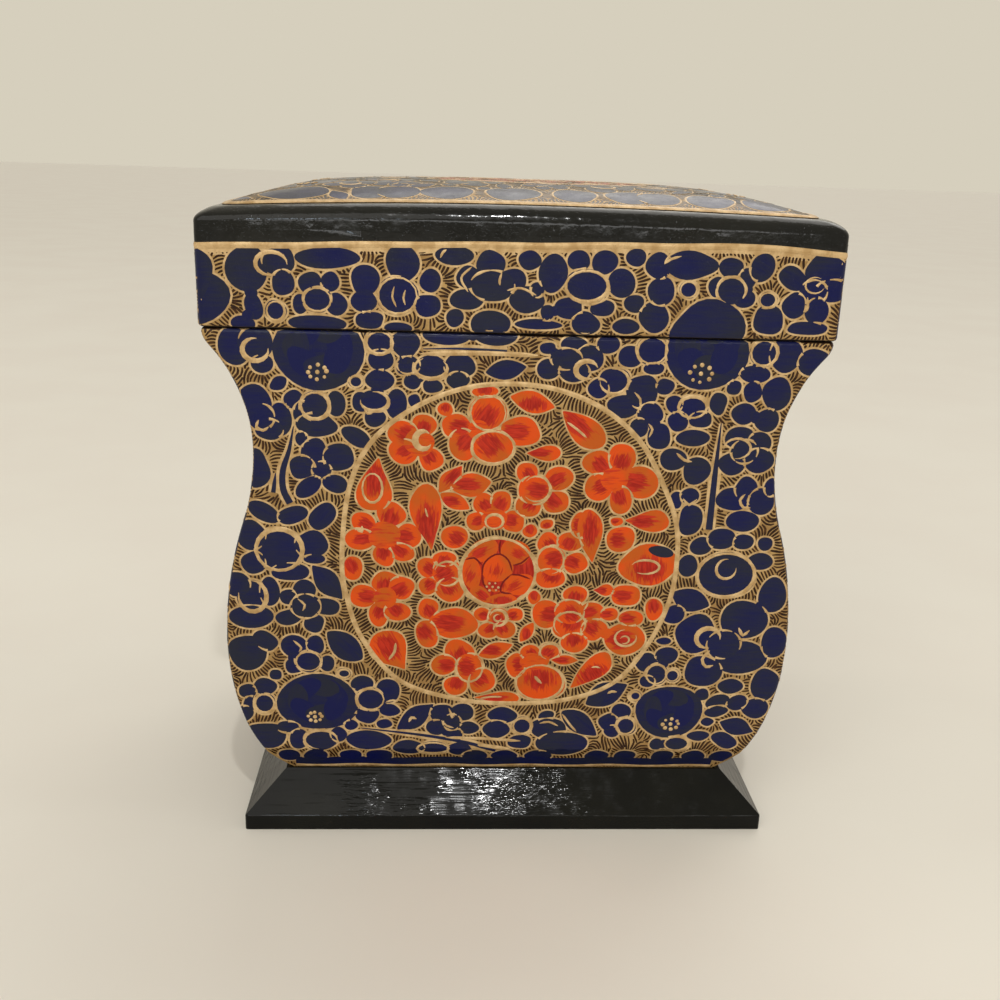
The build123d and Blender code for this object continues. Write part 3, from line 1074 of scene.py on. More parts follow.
class Sheet(Petals):
    """One face's whole drawing."""

    def line(self, points, width, paint="gold", height=LINE_H, closed=False, taper=True, take=False):
        """A brush line through points in mm; width may be one number or one for each point."""
        path = smooth_path(np.array(points, float), closed)
        if np.ndim(width):
            widths = np.interp(np.linspace(0, 1, len(path)), np.linspace(0, 1, len(width)), width)
        else:
            widths = np.full(len(path), float(width))
        if taper and not closed:
            widths = taper_ends(widths, 7, 0.25)
        self.keep_line(paint, height, path, widths, closed)
        if take:
            for (pu, pv), w in zip(path, widths):
                self.take(pu, pv, max(w / 2 - 0.1, 0.2), max(w / 2 - 0.1, 0.2))

    def ring(self, u, v, ru, rv, width=0.7, gap=None, opening=75):
        """An oval line, thicker on one side; gap is the direction that it opens to, in degrees."""
        start, sweep = (0, 360) if gap is None else (gap + opening / 2, 360 - opening)
        count = max(14, int(sweep * max(ru, rv) / 90))
        angles = np.radians(np.linspace(start, start + sweep, count, endpoint=gap is not None))
        path = np.stack([u + ru * np.cos(angles), v + rv * np.sin(angles)], 1)
        heavy = self.chance.uniform(0, 6.3) if gap is None else math.radians(gap + 180)
        widths = width * (1 + 0.3 * np.cos(angles - heavy))
        if gap is not None:
            widths = taper_ends(widths, 5, 0.2)
        self.keep_line("gold", LINE_H, path, widths, gap is None)

    def pearls(self, u, v, ru, rv, count=8, size=0.42):
        """A ring of small drops round a middle one."""
        for k in range(count):
            angle = 2 * math.pi * k / count + self.chance.uniform(-0.15, 0.15)
            place = (u + ru * math.cos(angle), v + rv * math.sin(angle))
            self.drops.append((*place, size * self.chance.uniform(0.8, 1.2)))
        self.drops.append((u, v, size * 1.1))


print("sheet ready")

# %% [markdown]
# ## Filling the gaps with ink
#
# The painter fills every gap with combs of short strokes.  They stand about square to the
# outlines beside them and keep one even distance from each other.  Two maps give the same
# result.  The first says which way strokes run at each spot: where the taken map, blurred,
# rises fastest.

# %% Which way strokes run
STROKE_PITCH, STROKE_WIDTH, STROKE_LENGTH, STROKE_SHORTEST = 0.72, 0.44, 5.0, 0.5
STROKE_SHAPE = np.array([0.75, 1.05, 1.1, 1.0, 0.6])
WALK, SLANT = 0.2, 0.38


def soften(field, reach):
    """Blur a map with running means of 2 * reach + 1 cells, twice each way."""
    width = 2 * reach + 1
    for axis in (0, 1, 0, 1):
        pad = [(reach + 1, reach) if a == axis else (0, 0) for a in (0, 1)]
        total = np.cumsum(np.pad(field, pad, mode="edge"), axis=axis)
        field = (np.take(total, range(width, total.shape[axis]), axis=axis)
                 - np.take(total, range(total.shape[axis] - width), axis=axis)) / width
    return field


def stroke_headings(sheet):
    """Which way a stroke runs at every cell: square to the outlines, with a slow slant."""
    ground = soften(sheet.taken.astype(float), 3)
    rise_v, rise_u = np.gradient(ground)
    squares = [soften(field, 6) for field in (rise_u * rise_u, rise_v * rise_v, rise_u * rise_v)]
    heading = 0.5 * np.arctan2(2 * squares[2], squares[0] - squares[1])
    slant = soften(sheet.chance.normal(size=ground.shape), 10)
    return heading + SLANT * slant / slant.std()


print("a stroke every", STROKE_PITCH, "mm, up to", STROKE_LENGTH, "mm long")

# %% [markdown]
# The second map remembers where ink lies.  A stroke grows both ways from a seed until it
# meets a petal or another stroke.

# %% Grow a stroke
def disc_mask(radius):
    """A small round stamp, in cells."""
    reach = int(radius / CELL + 1)
    steps = np.arange(-reach, reach + 1) * CELL
    return steps[:, None] ** 2 + steps[None, :] ** 2 <= radius * radius


def stamp(target, mask, row, col):
    """Mark a stamp on a map, cut off at the map's edges."""
    reach = mask.shape[0] // 2
    top, left = max(0, row - reach), max(0, col - reach)
    bottom, right = min(target.shape[0], row + reach + 1), min(target.shape[1], col + reach + 1)
    target[top:bottom, left:right] |= mask[top - row + reach:bottom - row + reach,
                                           left - col + reach:right - col + reach]


def is_open(marks, row, col):
    """True where a cell is on a map and not marked."""
    return 0 <= row < marks.shape[0] and 0 <= col < marks.shape[1] and not marks[row, col]


def grow(sheet, seed, heading, stopped, longest):
    """Walk from a seed both ways along the headings until something stops the stroke."""
    ends = []
    for sign in (1, -1):
        u, v = seed
        aim_u, aim_v, path = 0.0, 0.0, []
        while len(path) * WALK < longest / 2:
            row, col = sheet.cell(u, v)
            if not is_open(stopped, row, col):
                break
            path.append((u, v))
            angle = heading[row, col]
            step_u, step_v = math.cos(angle) * sign, math.sin(angle) * sign
            if len(path) > 1 and step_u * aim_u + step_v * aim_v < 0:
                step_u, step_v = -step_u, -step_v
            aim_u, aim_v = step_u, step_v
            u, v = u + WALK * step_u, v + WALK * step_v
        ends.append(path)
    return ends[0][:0:-1] + ends[1]


def neighbours(sheet, path, heading):
    """Seeds one pitch to either side of a stroke, by its middle and its quarters."""
    seeds, count = [], len(path)
    for u, v in (path[count // 2], path[count // 4], path[3 * count // 4]):
        row, col = sheet.cell(u, v)
        angle = heading[min(row, heading.shape[0] - 1), min(col, heading.shape[1] - 1)]
        du, dv = -math.sin(angle) * STROKE_PITCH, math.cos(angle) * STROKE_PITCH
        seeds += [(u + du, v + dv), (u - du, v - dv)]
    return seeds


print("stamp of", disc_mask(STROKE_PITCH / 2).shape, "cells round each step of", WALK, "mm")

# %% [markdown]
# From each finished stroke, its next neighbours are tried one pitch to either side.

# %% Comb a sheet
def fill_with_ink(sheet, joined=0.3):
    """Comb all the free ground of a sheet, once its petals are joined."""
    sheet.join(joined)
    heading = stroke_headings(sheet)
    crowded, stopped = sheet.taken.copy(), sheet.taken.copy()
    wide_mask, near_mask = disc_mask(STROKE_PITCH * 0.86), disc_mask(STROKE_PITCH * 0.5)
    free = np.argwhere(~sheet.taken)
    drawn = 0
    for first_row, first_col in free[sheet.chance.permutation(len(free))]:
        waiting = [] if crowded[first_row, first_col] else [(sheet.us[first_col], sheet.vs[first_row])]
        while waiting:
            seed = waiting.pop(0)
            row, col = sheet.cell(*seed)
            if not is_open(crowded, row, col):
                continue
            path = grow(sheet, seed, heading, stopped, STROKE_LENGTH * sheet.chance.uniform(0.75, 1.1))
            if len(path) * WALK < STROKE_SHORTEST:
                crowded[row, col] = True
                continue
            drawn += 1
            for spot in path:
                place = sheet.cell(*spot)
                stamp(crowded, wide_mask, *place)
                stamp(stopped, near_mask, *place)
            waiting += neighbours(sheet, path, heading)
            keep = np.array([path[k * (len(path) - 1) // 4] for k in range(5)])
            sheet.keep_line("ink", INK_H, keep, STROKE_WIDTH * STROKE_SHAPE * sheet.chance.uniform(0.8, 1.15))
    print(sheet.name, "ink strokes:", drawn)


print("ink ready")

# %% [markdown]
# ## Turning a sheet into paint
#
# Petals are laid as discs of rings and spokes, fine enough to follow a bent board.  Each
# point carries how deep the colour is there, and where it lies along and across the brush.

# %% Lay a petal
DISC_RINGS, DISC_SPOKES = (0.4, 0.75, 1.0), 26


def disc_topology():
    """Triangles of a disc made of rings and spokes, the same for every petal."""
    faces = [(0, 1 + k, 1 + (k + 1) % DISC_SPOKES) for k in range(DISC_SPOKES)]
    for ring in range(len(DISC_RINGS) - 1):
        for k in range(DISC_SPOKES):
            a = 1 + ring * DISC_SPOKES + k
            b = 1 + ring * DISC_SPOKES + (k + 1) % DISC_SPOKES
            faces += [(a, a + DISC_SPOKES, b + DISC_SPOKES), (a, b + DISC_SPOKES, b)]
    return np.array(faces)


def petal_tones(x, y, along, across, tone):
    """Colour of a petal: plain shading (none), one flat tone (negative), or red from its heart."""
    if tone is None:
        return 0.55 - 0.25 * np.hypot(x, y) ** 2
    if tone < 0:
        return np.full(len(x), -tone)
    reach, side = max(1e-6, np.abs(along).max()), max(1e-6, np.abs(across).max())
    fan = np.hypot((along / reach + 0.22) / 0.85, across / side / 0.8)
    return tone * np.clip(1.3 - 1.15 * fan, 0, 1)


def lay_disc(u, v, ru, rv, turn, kind, wobble, aim, tone, height):
    """One petal's points, tone and brush coordinates."""
    angles = 2 * math.pi * np.arange(DISC_SPOKES) / DISC_SPOKES
    uneven = 1 + sum(size * np.sin((k + 2) * angles + phase) for k, (size, phase) in enumerate(zip(*wobble)))
    px, py = petal_shape(kind, np.cos(angles), np.sin(angles))
    x = np.concatenate([[0.0], *(px * uneven * ring for ring in DISC_RINGS)]) * ru
    y = np.concatenate([[0.0], *(py * uneven * ring for ring in DISC_RINGS)]) * rv
    du, dv = turned(x, y, turn)
    along, across = turned(du, dv, -aim)
    seed = (u * 7.3 + v * 3.1) % 50
    points = np.stack([u + du, v + dv, np.full_like(du, height)], 1)
    tones = petal_tones(x / ru, y / rv, along, across, tone)
    return points, tones, np.stack([along, across, np.full_like(du, seed)], 1)


DISC_FACES = disc_topology()
print("a petal has", len(DISC_FACES), "triangles")

# %% [markdown]
# All of a sheet's petals, lines and drops in one paint are gathered while still flat.

# %% Gather one paint of a sheet
LINE_ARCH, INK_ARCH, DROP_RISE = 0.1, 0.01, 0.3
LINE_TONE, RED_TONE, DROP_TONE = 0.4, 2.0, 0.5


def join_parts(parts):
    """Put parts together; each is points, triangles and tables with a row for each point."""
    bases = np.cumsum([0] + [len(part[0]) for part in parts[:-1]])
    columns = [np.concatenate(column) for column in zip(*parts)]
    columns[1] = np.concatenate([part[1] + base for part, base in zip(parts, bases)])
    return columns


def lay_lines(group, height, paint):
    """Brush lines of one height, as points and triangles."""
    verts, edges, widths = [], [], []
    for path, width, closed in group:
        start, count = len(verts), len(path)
        verts += [(p[0], p[1], height) for p in path]
        widths += list(width)
        edges += [(start + k, start + k + 1) for k in range(count - 1)]
        if closed:
            edges.append((start + count - 1, start))
    arch = LINE_ARCH if height >= FILL_H else INK_ARCH
    return evaluate(BRUSH_LINES, verts, edges, widths, arch, paint)


def flat_paint(sheet, paint):
    """All that a sheet holds of one paint: points, triangles, tones and brush coordinates."""
    parts = []
    for fill in sheet.fills.get(paint, []):
        points, tone, brush = lay_disc(*fill)
        if sheet.ceiling is not None:
            points[:, 1] = np.minimum(points[:, 1], np.interp(points[:, 0], *sheet.ceiling))
        parts.append((points, DISC_FACES, tone, brush))
    for (line_paint, height), group in sorted(sheet.lines.items()):
        if line_paint == paint:
            points, triangles = lay_lines(group, height, paint)
            tone = np.full(len(points), RED_TONE if paint == "orange" else LINE_TONE)
            parts.append((points, triangles, tone, points * (1, 1, 0)))
    if paint == "gold" and sheet.drops:
        spots, sizes = [(u, v, DROP_H) for u, v, _ in sheet.drops], [size for *_, size in sheet.drops]
        points, triangles = evaluate(PAINT_DROPS, spots, [], sizes, DROP_RISE, paint)
        parts.append((points, triangles, np.full(len(points), DROP_TONE), points * 0.0))
    return join_parts(parts) if parts else None


print("paint can be gathered")

# %% [markdown]
# Paint that crosses an edge of the box has to bend there, so the triangles that a fold
# passes through are split along it.  Any point that falls outside the face is pulled to
# its edge, as a painter stops at the edge of the board, and faces that this squashes to
# nothing are dropped.

# %% Fold and trim
FOLD_SNAP, SMALLEST_AREA = 0.03, 1e-5


def cut_across(table, triangles, level):
    """Split the triangles that a fold passes through; level is each point's place across it."""
    above = level > 0
    count = above[triangles].sum(axis=1)
    crossing = (count == 1) | (count == 2)
    if not crossing.any():
        return table, triangles
    split, lone_is_above = triangles[crossing], count[crossing] == 1
    lone = np.argmax(above[split] == lone_is_above[:, None], axis=1)
    a, b, c = np.take_along_axis(split, (lone[:, None] + np.arange(3)) % 3, axis=1).T
    pairs = np.sort(np.concatenate([np.stack([a, b], 1), np.stack([a, c], 1)]), axis=1)
    edges, numbers = np.unique(pairs, axis=0, return_inverse=True)
    ab, ac = (numbers.ravel() + len(table)).reshape(2, -1)
    near, far = edges.T
    share = (level[near] / (level[near] - level[far]))[:, None]
    added = table[near] + share * (table[far] - table[near])
    fresh = [np.stack([a, ab, ac], 1), np.stack([ab, b, c], 1), np.stack([ab, c, ac], 1)]
    return np.concatenate([table, added]), np.concatenate([triangles[~crossing], *fresh])


def fold(sheet, table, triangles):
    """Give the paint an edge wherever the board bends under it."""
    for level_of in sheet.folds:
        level = level_of(table[:, 0], table[:, 1])
        table, triangles = cut_across(table, triangles, np.where(np.abs(level) < FOLD_SNAP, 0.0, level))
    return table, triangles


def pull_in(sheet, points):
    """Keep every point on the face."""
    v = np.clip(points[:, 1], sheet.low + sheet.margin, sheet.high - sheet.margin)
    edge = sheet.half(v) - sheet.margin
    return np.stack([np.clip(points[:, 0], -edge, edge), v, points[:, 2]], 1)


def face_up(flat, triangles):
    """Turn every triangle to face the viewer, and drop those with no area."""
    a, b, c = (flat[triangles[:, k], :2] for k in range(3))
    area = (b[:, 0] - a[:, 0]) * (c[:, 1] - a[:, 1]) - (b[:, 1] - a[:, 1]) * (c[:, 0] - a[:, 0])
    return np.where((area < 0)[:, None], triangles[:, ::-1], triangles)[np.abs(area) > SMALLEST_AREA]


print("folds and edges ready")

# %% [markdown]
# Then each paint becomes one mesh, wrapped on its boards, with a flat map for baking taken
# straight from the drawing.

# %% Lay a paint
def on_board(sheet, paint, number, total):
    """One sheet's paint, wrapped on its face, with its own tile of the baking map."""
    found = flat_paint(sheet, paint)
    if found is None:
        return None
    flat, triangles, tone, brush = found
    table, triangles = fold(sheet, np.column_stack([pull_in(sheet, flat), tone, brush]), triangles)
    flat, tone, brush = table[:, :3], table[:, 3], table[:, 4:]
    tiles = math.ceil(math.sqrt(total))
    corner = np.array([number % tiles, number // tiles]) / tiles
    size = max(2 * sheet.wide, sheet.high - sheet.low)
    spots = corner + (0.01 + 0.98 * (flat[:, :2] - (-sheet.wide, sheet.low)) / size) / tiles
    return sheet.wrap(flat[:, 0], flat[:, 1], flat[:, 2]) * MM, face_up(flat, triangles), tone, brush, spots


def paint_mesh(name, points, triangles, tones, brushes, spots):
    """A mesh of paint that keeps only the points its triangles use."""
    used, renumbered = np.unique(triangles, return_inverse=True)
    triangles = renumbered.reshape(-1, 3)
    mesh = bpy.data.meshes.new(name)
    mesh.vertices.add(len(used))
    mesh.vertices.foreach_set("co", points[used].ravel())
    mesh.loops.add(triangles.size)
    mesh.loops.foreach_set("vertex_index", triangles.ravel())
    mesh.polygons.add(len(triangles))
    mesh.polygons.foreach_set("loop_start", np.arange(len(triangles)) * 3)
    mesh.update(calc_edges=True)
    mesh.shade_smooth()
    mesh.attributes.new("tone", "FLOAT", "POINT").data.foreach_set("value", tones[used])
    mesh.attributes.new("brush", "FLOAT_VECTOR", "POINT").data.foreach_set("vector", brushes[used].ravel())
    mesh.uv_layers.new(name="OFBake").data.foreach_set("uv", spots[used][triangles.ravel()].ravel())
    return mesh


def lay_paint(name, sheets, paint, body, slot):
    """Wrap one paint of one or more sheets on to the box as one piece."""
    parts = [on_board(sheet, paint, number, len(sheets)) for number, sheet in enumerate(sheets)]
    parts = [part for part in parts if part is not None]
    if not parts:
        return None
    mesh = paint_mesh(name, *join_parts(parts))
    mesh.materials.append(PAINTS[paint])
    piece = new_object(name, mesh)
    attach(piece, body)
    print(name, len(mesh.polygons), "triangles")
    return piece


print("paint can be laid")

# %% [markdown]
# ## The front
#
# The front has one great round medallion of orange flowers, and navy flowers round it.
# Each entry below is one petal: where its middle is, its two radii, and where it matters
# its turn in degrees and its kind.  Petals that touch run together into a flower, and the
# gold under them joins into one outline.

# %% Navy petals on the front
NAVY_PETALS = [
    # top left corner, and down the left edge
    (-57.8, 108.9, 3, 3.6), (-53.5, 109.5, 3.2, 3.3), (-52.3, 105.4, 2, 1.6),
    (-41, 108.3, 8.9, 7.8), (-49.2, 101.5, 1.6, 1.1, 30), (-54.2, 97.3, 3.2, 3.7),
    (-49, 94, 2, 3.4), (-51.3, 91.8, 2.6, 2), (-53, 94.5, 2.6, 2.5),
    (-46.1, 98.2, 1.8, 1.8), (-44.5, 95.5, 1.6, 2.2), (-37.6, 97.5, 1.7, 2.4),
    (-41.7, 93, 4, 2.3), (-41.9, 97, 2.9, 2.8), (-44.8, 90, 1, 1.3),
    (-33.6, 90.6, 3, 1.6, -32), (-42.2, 87, 2.6, 2.8), (-37.2, 86.2, 3, 2.7),
    (-44.8, 83.9, 2.4, 2.3), (-40.8, 83.4, 1.8, 1.6), (-43.6, 79.6, 2.9, 1.6, 38),
    (-38, 80.4, 2.4, 1.7, -15), (-54.6, 83.4, 3, 3.9), (-28.8, 110.2, 2.7, 2.3),
    (-28.5, 106.8, 2.4, 1.9), (-23.6, 110.2, 2.7, 2.6), (-33.5, 102.2, 1.3, 1.2),
    (-28.7, 102.6, 2.7, 1.9), (-23.5, 105.4, 1.7, 1.4), (-32.5, 98, 1.6, 1.9),
    (-25.3, 97.7, 1.9, 2.9), (-29.7, 94.7, 2, 1.6), (-29.8, 98.2, 2.9, 2),
    (-21.7, 98.5, 1, 1.1),
    # along the top
    (-15.2, 112.3, 4.7, 2), (-5.5, 112.6, 4.2, 2.3), (-18.4, 105.3, 3.4, 2.2),
    (-22.9, 105.8, 2.1, 1.6), (-12.5, 105.9, 3, 2.2), (-12.8, 102.9, 2, 1.6),
    (-22.1, 102.5, 1.5, 1.4), (-18, 101.6, 1.8, 1.2), (-3.1, 105.3, 4, 1.8, 8, "leaf"),
    (5.3, 109.9, 1.5, 0.9), (10.6, 110.8, 2.6, 1.3), (13.9, 108, 2.6, 2.6),
    (5.6, 105.6, 2.2, 1.8), (10.9, 105.3, 2.9, 2), (9.2, 107.8, 3, 2),
    (17.6, 111, 2.1, 1.7), (22.3, 108.6, 2.3, 2), (19.3, 103.4, 3, 2.6),
    (16.1, 101.8, 1.9, 1.8), (21.6, 98.2, 3.2, 2.2), (25.2, 101.4, 3, 3.4),
    # top right corner
    (26.7, 110, 3.1, 2.8), (27.3, 106.2, 1.9, 1), (29.9, 102.5, 1.6, 1.5),
    (38, 110, 8.3, 7.9), (36, 98.3, 3, 2.3), (32.1, 98.9, 1.5, 1.6),
    (41.3, 99.2, 1.6, 2.1), (33.2, 95.2, 1.9, 1.9), (37.9, 95.7, 2.2, 1.5),
    (27.2, 96.7, 2.4, 2.2), (25.1, 93.7, 1.7, 1.8), (29.4, 91.9, 2.3, 2.5),
    (36.6, 91.7, 3.4, 1.5), (32.8, 87, 2.6, 2.2), (38, 84.6, 2.8, 2.7),
    (49.9, 110, 2.8, 2.7), (48.4, 105.5, 3, 1.6), (54.4, 109.8, 3.2, 3.6),
    (60.6, 108.2, 3.3, 2.6), (44.3, 102.6, 1.3, 1.3), (48.3, 101.8, 1.7, 2),
    (53.4, 101.5, 2.9, 3.2), (46.9, 97.1, 2.4, 2), (51.9, 95.8, 2.3, 2.3),
    (46.4, 92, 2.8, 2.1), (50.8, 91, 2.3, 2.1), (51.1, 87.1, 3, 2.5),
    (45.3, 86.2, 2.6, 2.2), (47.8, 89, 2.6, 2.4),
    # down the right edge
    (34.1, 78, 1.1, 1.7), (37, 79, 1.8, 1.5), (37.6, 73.6, 2.4, 3.2),
    (46.3, 78.4, 3.4, 2.3), (49, 80.8, 2.2, 2.4), (52.5, 78, 2.6, 2.8),
    (48.9, 73.5, 3.4, 2.1), (54.3, 81.2, 1.2, 1.8), (40.4, 67.7, 2.2, 1.8),
    (44.7, 69.4, 2.8, 2.2), (49.6, 68.8, 2, 1.5), (54.4, 68.4, 1.4, 1.3),
    (53.6, 64.3, 2.7, 1.7), (37.9, 63.1, 1.9, 2.3), (46.5, 61, 6.2, 5),
    (39.1, 55.1, 4.3, 2.5, -18, "leaf"), (35.8, 51.6, 2.2, 1.9, 30), (57.3, 56.4, 2.9, 3.9),
    (41, 47, 4.4, 4.3), (51.5, 50.5, 5.1, 4.3), (51.8, 41.2, 5.5, 3.7),
    (43.4, 37.8, 4, 3.5), (47.5, 44.5, 3.6, 3.2), (58.8, 45.1, 2.6, 3.6),
    (57.8, 34.7, 3, 3.7), (56.2, 28.7, 2.8, 2.3), (50, 34.2, 2.6, 1.6),
    # bottom right
    (47.4, 30.3, 2.5, 1.5, 15), (47.3, 27.9, 2.4, 1.2, 10), (51.9, 30.1, 2.2, 1.6, 20),
    (43.7, 32.1, 1.4, 1.2), (36.5, 27.7, 7.5, 6.2), (30.4, 40, 2.3, 2),
    (34.9, 41.7, 2.3, 1.8), (32.9, 37.1, 2.3, 2.4), (36.6, 36.8, 1.4, 1.4),
    (31, 35.3, 1.5, 1.2), (34, 45.2, 1.4, 0.6), (21.8, 32, 5, 2.6, 28, "leaf"),
    (28.5, 31.6, 1.2, 1.1), (25.6, 27.8, 2, 1.6), (22.8, 25.1, 2, 1.8),
    (26.8, 24.1, 2.1, 2.1), (23.7, 22.7, 1.5, 1.3), (52.3, 24, 3.9, 1.9, -15, "leaf"),
    (49.8, 20.5, 2.9, 1.6, -25), (43.7, 21.6, 2.3, 1), (45.5, 25.2, 1.2, 0.8),
    (38.9, 19.6, 2.8, 1.8), (34.2, 19.4, 1.3, 1.2),
    # along the foot
    (-20.9, 26, 4.7, 2.2, 40, "leaf"), (-14.9, 27, 2.5, 2), (-10.4, 27.3, 2.4, 1.9),
    (-16, 23.5, 2.3, 1.6), (-8.8, 23.4, 2, 1.3), (-12, 21.7, 1.6, 1.4),
    (-12.6, 24.8, 1.8, 1.8), (-1.3, 26.6, 3.1, 1.7), (-2.6, 23.1, 2.8, 2),
    (3.3, 23.9, 2.1, 2), (8.6, 26.5, 1.6, 1, 20), (9.2, 23.3, 3.9, 2.4),
    (12.4, 19.3, 5.6, 3), (16.1, 24.8, 4.8, 2.4, -38, "leaf"), (2.8, 19.9, 2.4, 1.5),
    (-16.8, 18, 3.6, 1.6), (-22.3, 18.2, 3.4, 1.7), (-10.8, 17.8, 2.5, 1.7),
    # bottom left
    (-42.5, 29.6, 8.8, 6.6), (-54, 33.4, 2.3, 1.8), (-57.9, 32.3, 1.7, 1.4),
    (-57.3, 29.3, 1.4, 1.5), (-54.3, 29.2, 2.2, 2.3), (-58.8, 26.6, 1.6, 1.9, -40),
    (-54.4, 21.2, 4.6, 3), (-49.2, 23.4, 2.4, 1.2), (-46.8, 20.4, 1.9, 2.3),
    (-42, 20.2, 3.7, 2.4), (-38, 21.6, 1.6, 1.6), (-31.3, 20.2, 4.9, 2.1),
    (-32.7, 34.2, 2.3, 1.7), (-27, 32.5, 2.5, 2.6), (-31.6, 26.6, 2.3, 2),
    (-26.6, 27.7, 2.1, 1.2), (-30.9, 30.4, 3, 2.6), (-27.8, 24.3, 1.5, 0.9),
    (-35.2, 24, 1.3, 1),
    # up the left edge
    (-50, 65.6, 4.9, 4.7), (-53, 74, 3.4, 1.7, -30), (-47, 73.4, 3, 1.7, 15),
    (-55.9, 68.8, 2.9, 3.1), (-43.2, 66.9, 3.3, 2.8), (-55.5, 62.6, 2.3, 2.4),
    (-47.8, 60.6, 3.8, 1.8), (-42.6, 63.6, 2.1, 0.8), (-40.8, 73.2, 3.2, 2.1, 48),
    (-40, 58.3, 4.6, 2.3, -52, "leaf"), (-56, 54.9, 3, 3.6), (-59.2, 57.6, 2.6, 2.6),
    (-52.3, 56, 1.9, 3.1), (-56.4, 50.1, 4.4, 2.5), (-44.9, 56.5, 2.2, 2.1),
    (-48.4, 54.8, 1.6, 1.5), (-40.2, 52.6, 2.6, 1.7, -10), (-43, 48.7, 2, 1.9),
    (-48.3, 50.1, 2.7, 1.6, 12), (-44.7, 52.7, 3, 2.6), (-57.5, 41.6, 4, 3.9),
    (-53.6, 44.5, 2.7, 1.8, -35), (-47.4, 43.2, 2.7, 2.4), (-42.8, 43.5, 1.7, 2),
    (-47.6, 38.4, 1.6, 1.6), (-40.3, 39.1, 1.4, 1.6), (-44.4, 39.6, 2.7, 2.3),
    (-36.4, 43.3, 5, 2.7, -42, "leaf"), (-36.7, 36.7, 1.3, 1), (-51.6, 36.3, 1.1, 1),
]
print(len(NAVY_PETALS), "navy petals on the front")

# %% [markdown]
# Rings and curls are drawn over the petals in gold.  A ring marks the heart of a flower.
# Where it has a gap, the last number says which way it opens, in degrees from the right.

# %% Gold rings, curls and stems on the front
NAVY_RINGS = [
    (-53.6, 108.3, 2.6, 2.3, 1.1, 45), (-41.9, 97, 2.9, 2.8, 0.8, None),
    (-28.8, 110.2, 2.7, 2.3, 0.8, None), (-33.5, 102.2, 1.3, 1.2, 0.6, None),
    (-29.8, 98.2, 2.9, 2, 0.8, 135), (-18.4, 105.3, 3.4, 2.2, 0.9, 80),
    (13.5, 105.6, 2.3, 1.9, 1.2, -20), (19.3, 103.4, 3, 2.6, 0.7, 140),
    (26.7, 110, 3.1, 2.8, 0.6, None), (36, 98.3, 3, 2.3, 0.8, None),
    (49.9, 110, 2.8, 2.7, 0.8, None), (46.2, 89.6, 2.9, 2.2, 0.6, 225),
    (46.5, 61, 6.3, 5.1, 0.9, None), (46.4, 62.5, 2.2, 2.3, 0.7, 45),
    (43.9, 46, 2.7, 2.4, 1.2, -45), (32.9, 37.1, 2.3, 2.4, 0.6, None),
    (28.5, 31.6, 1.2, 1.1, 0.7, None), (26.8, 24.1, 2.1, 2.1, 0.7, None),
    (38.9, 19.6, 2.8, 1.8, 0.7, None), (3.3, 23.9, 2.1, 2, 0.8, None),
    (-16.8, 18, 3.6, 1.6, 0.7, None), (-54.3, 29.2, 2.2, 2.3, 0.8, None),
    (-42, 20.2, 3.7, 2.4, 0.7, -60), (-30.9, 30.4, 3, 2.6, 0.6, None),
    (-50, 65.6, 4.9, 4.7, 1.2, None), (-56, 54.9, 3, 3.6, 1.1, 130),
    (-44.4, 39.6, 2.7, 2.3, 0.45, None), (-36.7, 36.7, 1.3, 1, 0.6, None),
    (36.6, 36.8, 1.4, 1.4, 0.5, None),
]
NAVY_CURLS = [
    ([(-53.4, 93.8), (-53.9, 92.4), (-52.6, 91.6), (-51.4, 92.4)], 0.6),
    ([(-31.9, 96.6), (-31.2, 95.6), (-30, 95.9)], 0.5),
    ([(23.6, 101.2), (24.9, 99.8), (25, 98)], 0.5),
    ([(27, 94.6), (27.9, 93.4), (27.3, 91.7)], 0.5),
    ([(33.4, 88.4), (35.2, 86.9), (36.8, 86.6)], 0.6),
    ([(48.9, 79.6), (47.9, 78.2), (48.8, 76.6), (50.3, 76.6)], 0.6),
    ([(35.6, 78.4), (37, 77), (38.6, 78.3)], 0.6),
    ([(50.5, 48.6), (51.6, 46.8), (53, 48)], 0.7),
    ([(44.5, 43), (43, 40.8), (44, 39), (45.6, 39.4)], 0.7),
    ([(22.2, 32.2), (23.1, 32.7), (24.3, 32.6)], 0.6),
    ([(-22.3, 24.8), (-21.7, 25.9), (-20.6, 25.6)], 0.7),
    ([(-13.4, 28.3), (-12.8, 26.9), (-12, 26.3)], 0.45),
    ([(-15, 25.2), (-13.8, 23.9), (-12.2, 23.4)], 0.45),
    ([(-27.4, 29.8), (-25.9, 30.2), (-24.8, 29.9)], 0.45),
    ([(12.2, 27), (14.2, 24.2), (15.6, 22.6)], 0.5),
    ([(7.2, 24.6), (9.2, 25), (11.4, 24)], 0.5),
    ([(-47.6, 44.6), (-45.9, 42.9), (-46.4, 41.9)], 0.5),
    ([(-46.4, 54.4), (-44.9, 53), (-45.4, 51.6)], 0.5),
]
FRONT_STEMS = [
    ([(-46.4, 92.5), (-47.4, 87.5), (-48.8, 83), (-48.8, 79), (-47.5, 76)], 1.5),
    ([(-50.3, 82.5), (-50.9, 78.3)], 1),
    ([(42.3, 95), (42, 84), (41.8, 71.5)], 1.5),
    ([(-20, 109.2), (-12, 109.4), (-3, 109.1)], 0.6),
    ([(-33, 23.2), (-19.4, 21.5), (-9.2, 19.6), (-2.6, 17.4)], 0.9),
]
FRONT_BARS = [
    ([(-20.5, 108.2), (-8, 108.6), (3.3, 108.4)], 1),
    ([(-7, 19), (-3, 18.6), (1, 17.8)], 0.9), ([(-14, 20.9), (-6, 20.7), (3, 20.1)], 0.7),
]
